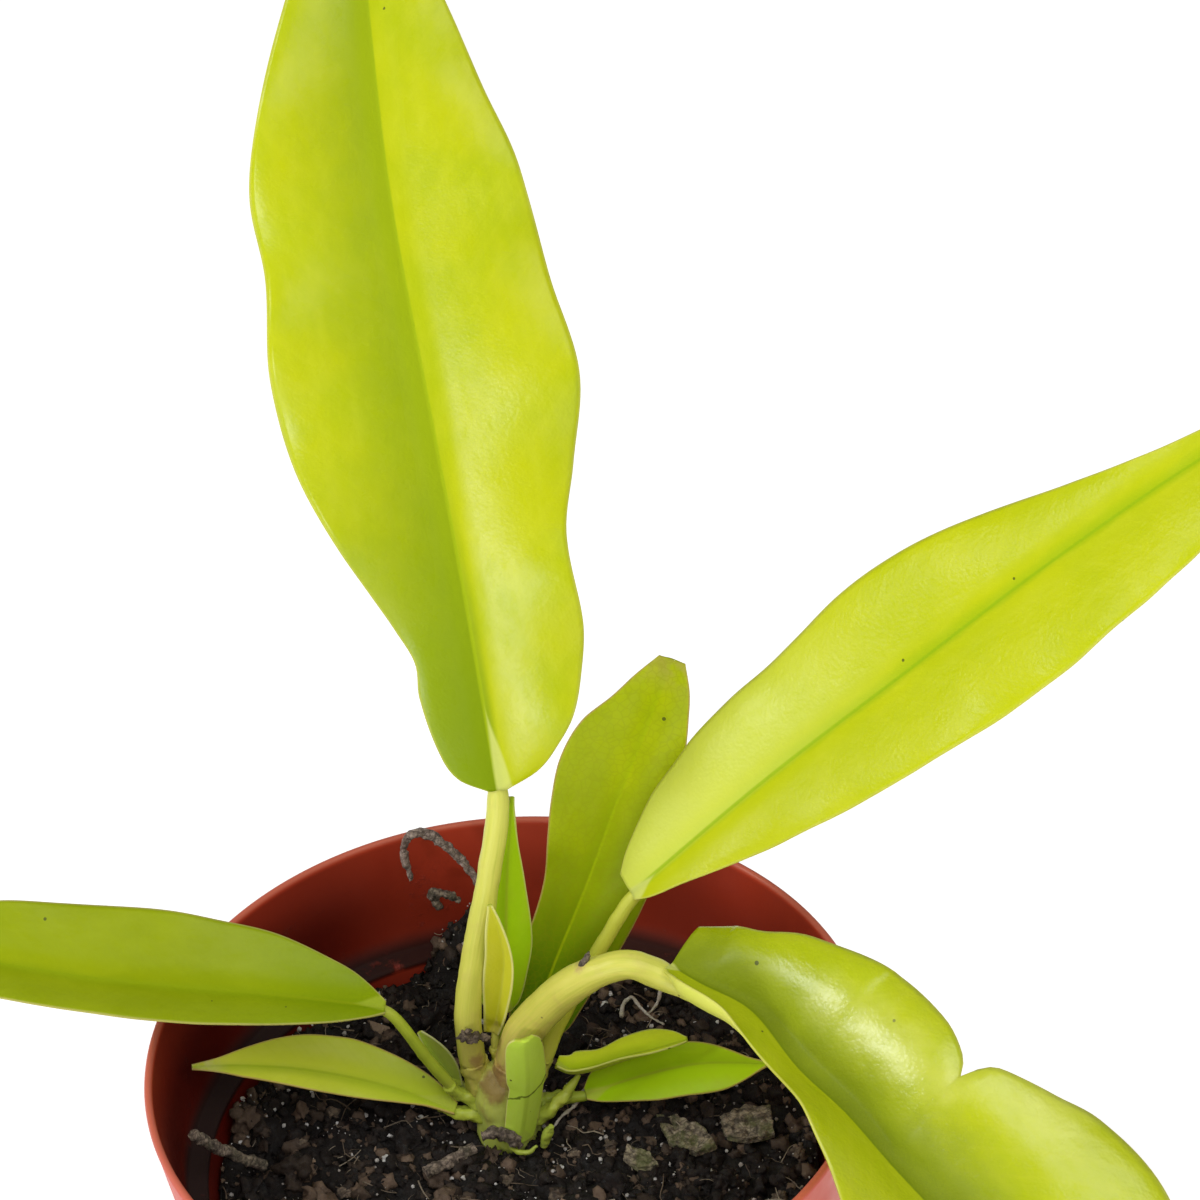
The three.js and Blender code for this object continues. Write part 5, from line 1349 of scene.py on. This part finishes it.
# For each kind: its shapes, material, smooth or not, then per m2, smallest, largest, tilt, lift in mm, seed
looseMatter = {
    "soil_crumbs": (
        [lumpShape(f"crumb_{k}", 2, k * 3.7, 0.9) for k in range(5)], "crumbs", True,
        (340000.0, 0.3, 1.3, 3.1, 0.1, 3),
    ),
    "soil_clods": (
        [lumpShape(f"clod_{k}", 3, k * 5.1 + 2, 1.1, (1, 1, 0.8)) for k in range(5)], "crumbs", True,
        (32000.0, 0.8, 2.7, 3.1, 0.0, 14),
    ),
    "soil_grit": (
        [lumpShape(f"grit_{k}", 1, k * 2.3 + 5, 0.5) for k in range(4)], "pale_grit", False,
        (130000.0, 0.08, 0.44, 3.1, 0.5, 25),
    ),
    "soil_flakes": (
        [flakeShape(f"flake_{k}", k + 1) for k in range(6)], "bark_bits", False,
        (11000.0, 0.35, 1.9, 0.8, 0.35, 36),
    ),
    "soil_fibres": (
        [fibreShape(f"fibre_{k}", k + 1) for k in range(6)], "loose_fibres", True,
        (60000.0, 0.8, 3.4, 0.45, 0.6, 47),
    ),
}
for name, (shapes, finish, smooth, (density, smallest, largest, tilt, lift, seed)) in looseMatter.items():
    scatter(name, shapes, soilMaterials[finish], smooth, **{
        "Per Square Metre": density, "Smallest": smallest, "Largest": largest, "Tilt": tilt,
        "Lift": lift * mm, "Seed": seed,
    })

# Litter: chips of bark, twigs, roots and stones, and dirt caught on the plant
chipForms = {
    "bark_chip_middle": (
        (24.9, 1), -28, [(-5.2, 1.6), (-2.6, 3.1), (2.4, 2), (5.4, -0.4), (3.2, -3), (-1.6, -2.2)],
    ),
    "bark_chip_right": (
        (34.4, 2.4), 8, [(-4, 2.2), (0.2, 3.6), (3.7, 2.6), (3.2, -3.2), (-0.8, -3.4), (-3.8, -2)],
    ),
    "bark_chip_front": ((18.1, -3.2), -40, [(-3, 0.9), (0.4, 1.9), (3.2, 0.2), (1, -1.8), (-2.2, -1.2)]),
}
chipSize = {"over": 0.4, "thick": 1.1, "cupping": 0.012, "cuppingFrom": 3}
# Names of the materials, with a dark, a light and a mossy colour and the share of moss
barkColors = {
    "mossy_bark": [(0.05, 0.04, 0.026), (0.46, 0.38, 0.26), (0.09, 0.11, 0.02), 0.6],
    "dead_twig": [(0.045, 0.032, 0.024), (0.36, 0.28, 0.21), (0.1, 0.11, 0.04), 0.2],
    "dry_root": [(0.1, 0.07, 0.055), (0.6, 0.47, 0.4), (0.2, 0.12, 0.09), 0.3],
    "pale_root": [(0.4, 0.34, 0.27), (0.66, 0.62, 0.55), (0.3, 0.3, 0.16), 0.3],
    "tan_stone": [(0.05, 0.035, 0.025), (0.26, 0.19, 0.13), (0.12, 0.09, 0.05), 0.3],
    "white_mineral": [(0.5, 0.48, 0.44), (0.85, 0.84, 0.8), (0.6, 0.58, 0.5), 0.2],
}


def makeBarkMaterial(name, dark, light, moss, mossShow):
    ink = Ink(name, dark)
    ink.tint(light, ink.spread(ink.mottle(1.2, 6, 0.7), 0.35, 0.68))
    cells = {"Vector": ink.place, "Scale": 900.0}
    cracks = ink.put("ShaderNodeTexVoronoi", cells, feature="DISTANCE_TO_EDGE").outputs["Distance"]
    ink.tint(dark, ink.spread(cracks, 0.12, 0.0), 0.6)
    ink.tint(moss, ink.spread(ink.mottle(3.2, 4), 0.45, 0.62), mossShow)
    ink.give("Roughness", 0.85)
    ink.bump([(ink.mottle(1.0, 6, 0.7), 0.5), (cracks, 0.3)])
    return ink.finish()


# A chip lies just above the highest soil under its outline
def makeChip(name, spot, turn, outline):
    c, s = math.cos(math.radians(turn)), math.sin(math.radians(turn))
    turned = [(c * x - s * y, s * x + c * y) for x, y in outline]
    below = (soilHeight(spot[0] + p * x, spot[1] + p * y) for x, y in turned for p in (0, 0.5, 1))
    base = max(below) + chipSize["over"]
    shape = bmesh.new()
    thicken(shape, [(spot[0] + x, spot[1] + y, base) for x, y in turned], chipSize["thick"])
    bmesh.ops.triangulate(shape, faces=shape.faces)
    for _ in range(4):
        bmesh.ops.subdivide_edges(shape, edges=shape.edges, cuts=1, use_grid_fill=True)
    middle = Vector((*spot, base + chipSize["thick"] / 2))
    for vert in shape.verts:
        rough = noise.fractal(vert.co / 1.6, 0.9, 2.0, 4)
        out = vert.co - middle
        out.z = 0
        vert.co += out * 0.08 * rough
        vert.co.z += 0.4 * rough * (1 if vert.co.z > middle.z else 0.4)
        vert.co.z += chipSize["cupping"] * (out.length ** 2 - chipSize["cuppingFrom"] ** 2)
    bmesh.ops.recalc_face_normals(shape, faces=shape.faces)
    mesh = meshOf(shape, name)
    mesh.transform(Matrix.Scale(mm, 4))
    mesh.materials.append(barkMaterials["mossy_bark"])
    mesh.shade_smooth()
    mesh.set_sharp_from_angle(angle=math.radians(60))
    finishPiece(bpy.data.objects.new(name + "_dressed", mesh), [name])


print("litter")
barkMaterials = {name: makeBarkMaterial(name, *values) for name, values in barkColors.items()}
for name, form in chipForms.items():
    makeChip(name, *form)


# A piece of one tube: a twig, a root or a scrap of stalk
def makeStick(name, path, radii, material, sides, steps, rough, seed=0.0, nodes=()):
    piece = Piece(name)
    piece.add(**tubeBody(densePath(path), radii, sides, steps, rough, seed))
    piece.build([material], nodes)


sticks = {
    "twig_crown": ([(-6.2, 1.6, 1.7), (-9.4, -0.4, 1.5), (-13.4, -2.6, 1.4)], 0.9),
    "twig_wall": ([(-37.4, 4, 1.6), (-42.4, 0.8, 9.3), (-46.4, -2.2, 14.3)], 0.8),
}
for name, (path, radius) in sticks.items():
    path = [(x, y, soilHeight(x, y) + over) for x, y, over in path]
    makeStick(
        name + "_dressed", path, evenly([radius, radius]), barkMaterials["dead_twig"],
        18, 70, (1.1, 0.4), seed=2, nodes=[name],
    )

dryRoot = {
    "foot": (-2.6, 41.2, -0.1),
    "path": [
        (-3.4, 43.6, 86.4), (-4.8, 44.6, 89), (-7.4, 44.8, 93), (-10, 45, 95.6), (-12.4, 45, 96.2),
        (-14, 44.6, 94.2), (-13.9, 44.2, 91), (-13.3, 43.8, 88),
    ],
    "radii": [0.6, 0.6, 0.6, 0.65, 0.74, 0.72, 0.62, 0.58, 0.4],
}
x, y, over = dryRoot["foot"]
makeStick(
    "dry_root_dressed", [(x, y, soilHeight(x, y) + over), *dryRoot["path"]], evenly(dryRoot["radii"]),
    barkMaterials["dry_root"], 18, 150, (1.2, 0.35), seed=4, nodes=["dry_root"],
)

smallRoots = {
    "root_pale_crown": [(10.8, 10.7, 73.6), (9.0, 7.7, 73), (7.0, 6.2, 72.4), (5.6, 4.8, 71.6)],
    "root_pale_curl": [
        (16.8, 27.1, 72), (17.3, 29, 73), (18.6, 29.6, 73.6), (19.7, 28.1, 73), (21.4, 26.1, 72.4),
        (23.2, 25, 71.8),
    ],
    "root_pale_back": [(23.7, 34.7, 74), (23.1, 31.4, 73.4), (22.2, 28.6, 72.6), (20.6, 27.2, 72)],
}
for name, path in smallRoots.items():
    radii = [[0, 0.3], [0.6, 0.24], [1, 0.12]]
    makeStick(name, path, radii, barkMaterials["pale_root"], 10, 50, (0.8, 0.15))

# Each scrap: path, radii, depth of its bumps
looseStalks = {
    "root_stub": (
        [(-9.6, 44.2, 81.6), (-10.4, 44, 85), (-8.6, 44, 84.4), (-6.4, 44, 83)], [0.6, 0.7, 0.6, 0.4], 0.4,
    ),
    "bract_brown": ([(-4.8, 1, 74.6), (-2.9, 1, 75), (-0.4, 1, 73.8), (0.6, 1, 72)], [0.6, 1, 1, 0.5], 0.5),
    "sliver_green": (
        [(-1.3, 0.8, 73.5), (-0.2, 0.6, 71.6), (1.7, 0.6, 71), (3.1, 0.8, 72)], [0.2, 0.4, 0.4, 0.2], 0.1,
    ),
    "bud_green": ([(5.5, 1.5, 75.1), (4.8, 1.6, 73.6), (4.1, 1.8, 71)], [0.35, 0.75, 0.6], 0.2),
    "nub_dark": ([(11.8, 1.8, 105.6), (12.6, 1.6, 107.6), (13, 1.6, 108.6)], [0.8, 0.5, 0.15], 0.3),
}
budLook = {**stalkLook, "foot": (0.36, 0.45, 0.06), "middle": (0.36, 0.46, 0.05), "top": (0.4, 0.5, 0.08)}
budMaterial = makeStalkMaterial("bud_skin", budLook)
for name, (path, radii, rough) in looseStalks.items():
    material, slotName = barkMaterials["dead_twig"], "twig"
    if name.endswith("green"):
        material, slotName = budMaterial, "crown_green"
    makeStick(name, path, evenly(radii), material, 14, 40, (1.0, rough), seed=6)

# Lumps on the soil: x, y, radius. Those of the perch lie on the crown, so their height is given too.
looseLumps = {
    "stones": (barkMaterials["tan_stone"], "bark", [
        (5.4, -7.9, 1.1), (13.8, 1.6, 0.9), (17.6, -5.4, 0.8), (8.6, 0.1, 0.9), (-1.8, -4, 1.0),
        (-27.4, 12.4, 1.2), (-31.9, 6.5, 1.0), (-10.9, 16, 1.3), (-25.3, -4.7, 1.0), (41, -3.4, 1.1),
        (38, -11.3, 1.2),
    ]),
    "white_grains": (barkMaterials["white_mineral"], "bark", [
        (-19.4, 2.4, 0.7), (27.7, -5.9, 0.8), (14.4, 31, 0.5), (-9, 12.6, 0.5), (-14, 10, 0.4),
        (6.2, -2.2, 0.5), (-30, 17, 0.5), (33, 12, 0.5), (-4, 30, 0.5), (9, 36, 0.4),
    ]),
    "clods": (soilMaterials["crumbs"], "soil", [
        (-20.7, -2.9, 1.5), (1.6, 5.0, 1.0), (2.7, 3.2, 0.9), (-7, 12, 1.3), (30, -9, 1.4),
    ]),
}
perch = [(-6.1, 5.4, 90.6, 0.9), (-4.7, 5.6, 90, 1.0), (-3.4, 5.9, 89.8, 0.8), (-5.4, 5.6, 91.4, 0.5)]
for name, (material, slotName, spots) in looseLumps.items():
    piece = Piece(name)
    standing = [(x, y, crumbled(x, y) + 0.55 * r, r) for x, y, r in spots]
    if name == "stones":
        standing += perch
    for k, (*middle, r) in enumerate(standing):
        mesh = lumpShape(f"{name}_{k}", 3, 3.3 * k + len(name), 0.8, (1.0, 0.85, 0.75))
        points = np.array([v.co for v in mesh.vertices]) / mm * r + np.array(middle)
        piece.add(points, [list(p.vertices) for p in mesh.polygons])
        bpy.data.meshes.remove(mesh)
    piece.build([material])

# Floor, light and colour
stageLook = {
    "floor": (0.95, 0.95, 0.95), "floorReach": 3000, "floorGlow": 0.48, "world": 0.3,
    "lamps": {
        "front_left": {"toward": (-0.52, -0.85, 0.05), "far": 950, "size": (240, 200), "power": 1.9},
        "left_above": {"toward": (-0.82, -0.18, 0.54), "far": 900, "size": (260, 260), "power": 2.8},
        "overhead": {"toward": (0.22, -0.5, 0.84), "far": 1000, "size": (900, 900), "power": 5.6},
        "right_fill": {"toward": (0.8, -0.5, 0.3), "far": 1200, "size": (900, 900), "power": 0.3},
    },
    "aim": (0, 0, 120),
}
print("stage and light")
reach = stageLook["floorReach"]
corners = [(-reach, -reach, 0), (reach, -reach, 0), (reach, reach, 0), (-reach, reach, 0)]
floor = bpy.data.objects.new("floor", newMesh("floor", corners, [[0, 1, 2, 3]]))
ink = Ink("pale_floor", stageLook["floor"])
ink.give("Roughness", 0.9)
ink.give("Emission Color", (1, 1, 1, 1))
ink.give("Emission Strength", stageLook["floorGlow"])
floor.data.materials.append(ink.finish())
scene.collection.objects.link(floor)
world = bpy.data.worlds.new("studio")
world.use_nodes = True
world.node_tree.nodes["Background"].inputs["Color"].default_value = (1, 1, 1, 1)
world.node_tree.nodes["Background"].inputs["Strength"].default_value = stageLook["world"]
scene.world = world
for name, lamp in stageLook["lamps"].items():
    data = bpy.data.lights.new(name, "AREA")
    data.shape, data.energy = "RECTANGLE", lamp["power"]
    data.size, data.size_y = lamp["size"][0] * mm, lamp["size"][1] * mm
    toward = Vector(lamp["toward"]).normalized()
    light = bpy.data.objects.new(name, data)
    light.location = (Vector(stageLook["aim"]) + toward * lamp["far"]) * mm
    light.rotation_euler = toward.to_track_quat("Z", "Y").to_euler()
    scene.collection.objects.link(light)
scene.view_settings.view_transform = "Standard"
scene.view_settings.look = "None"
scene.view_settings.exposure = 0.0
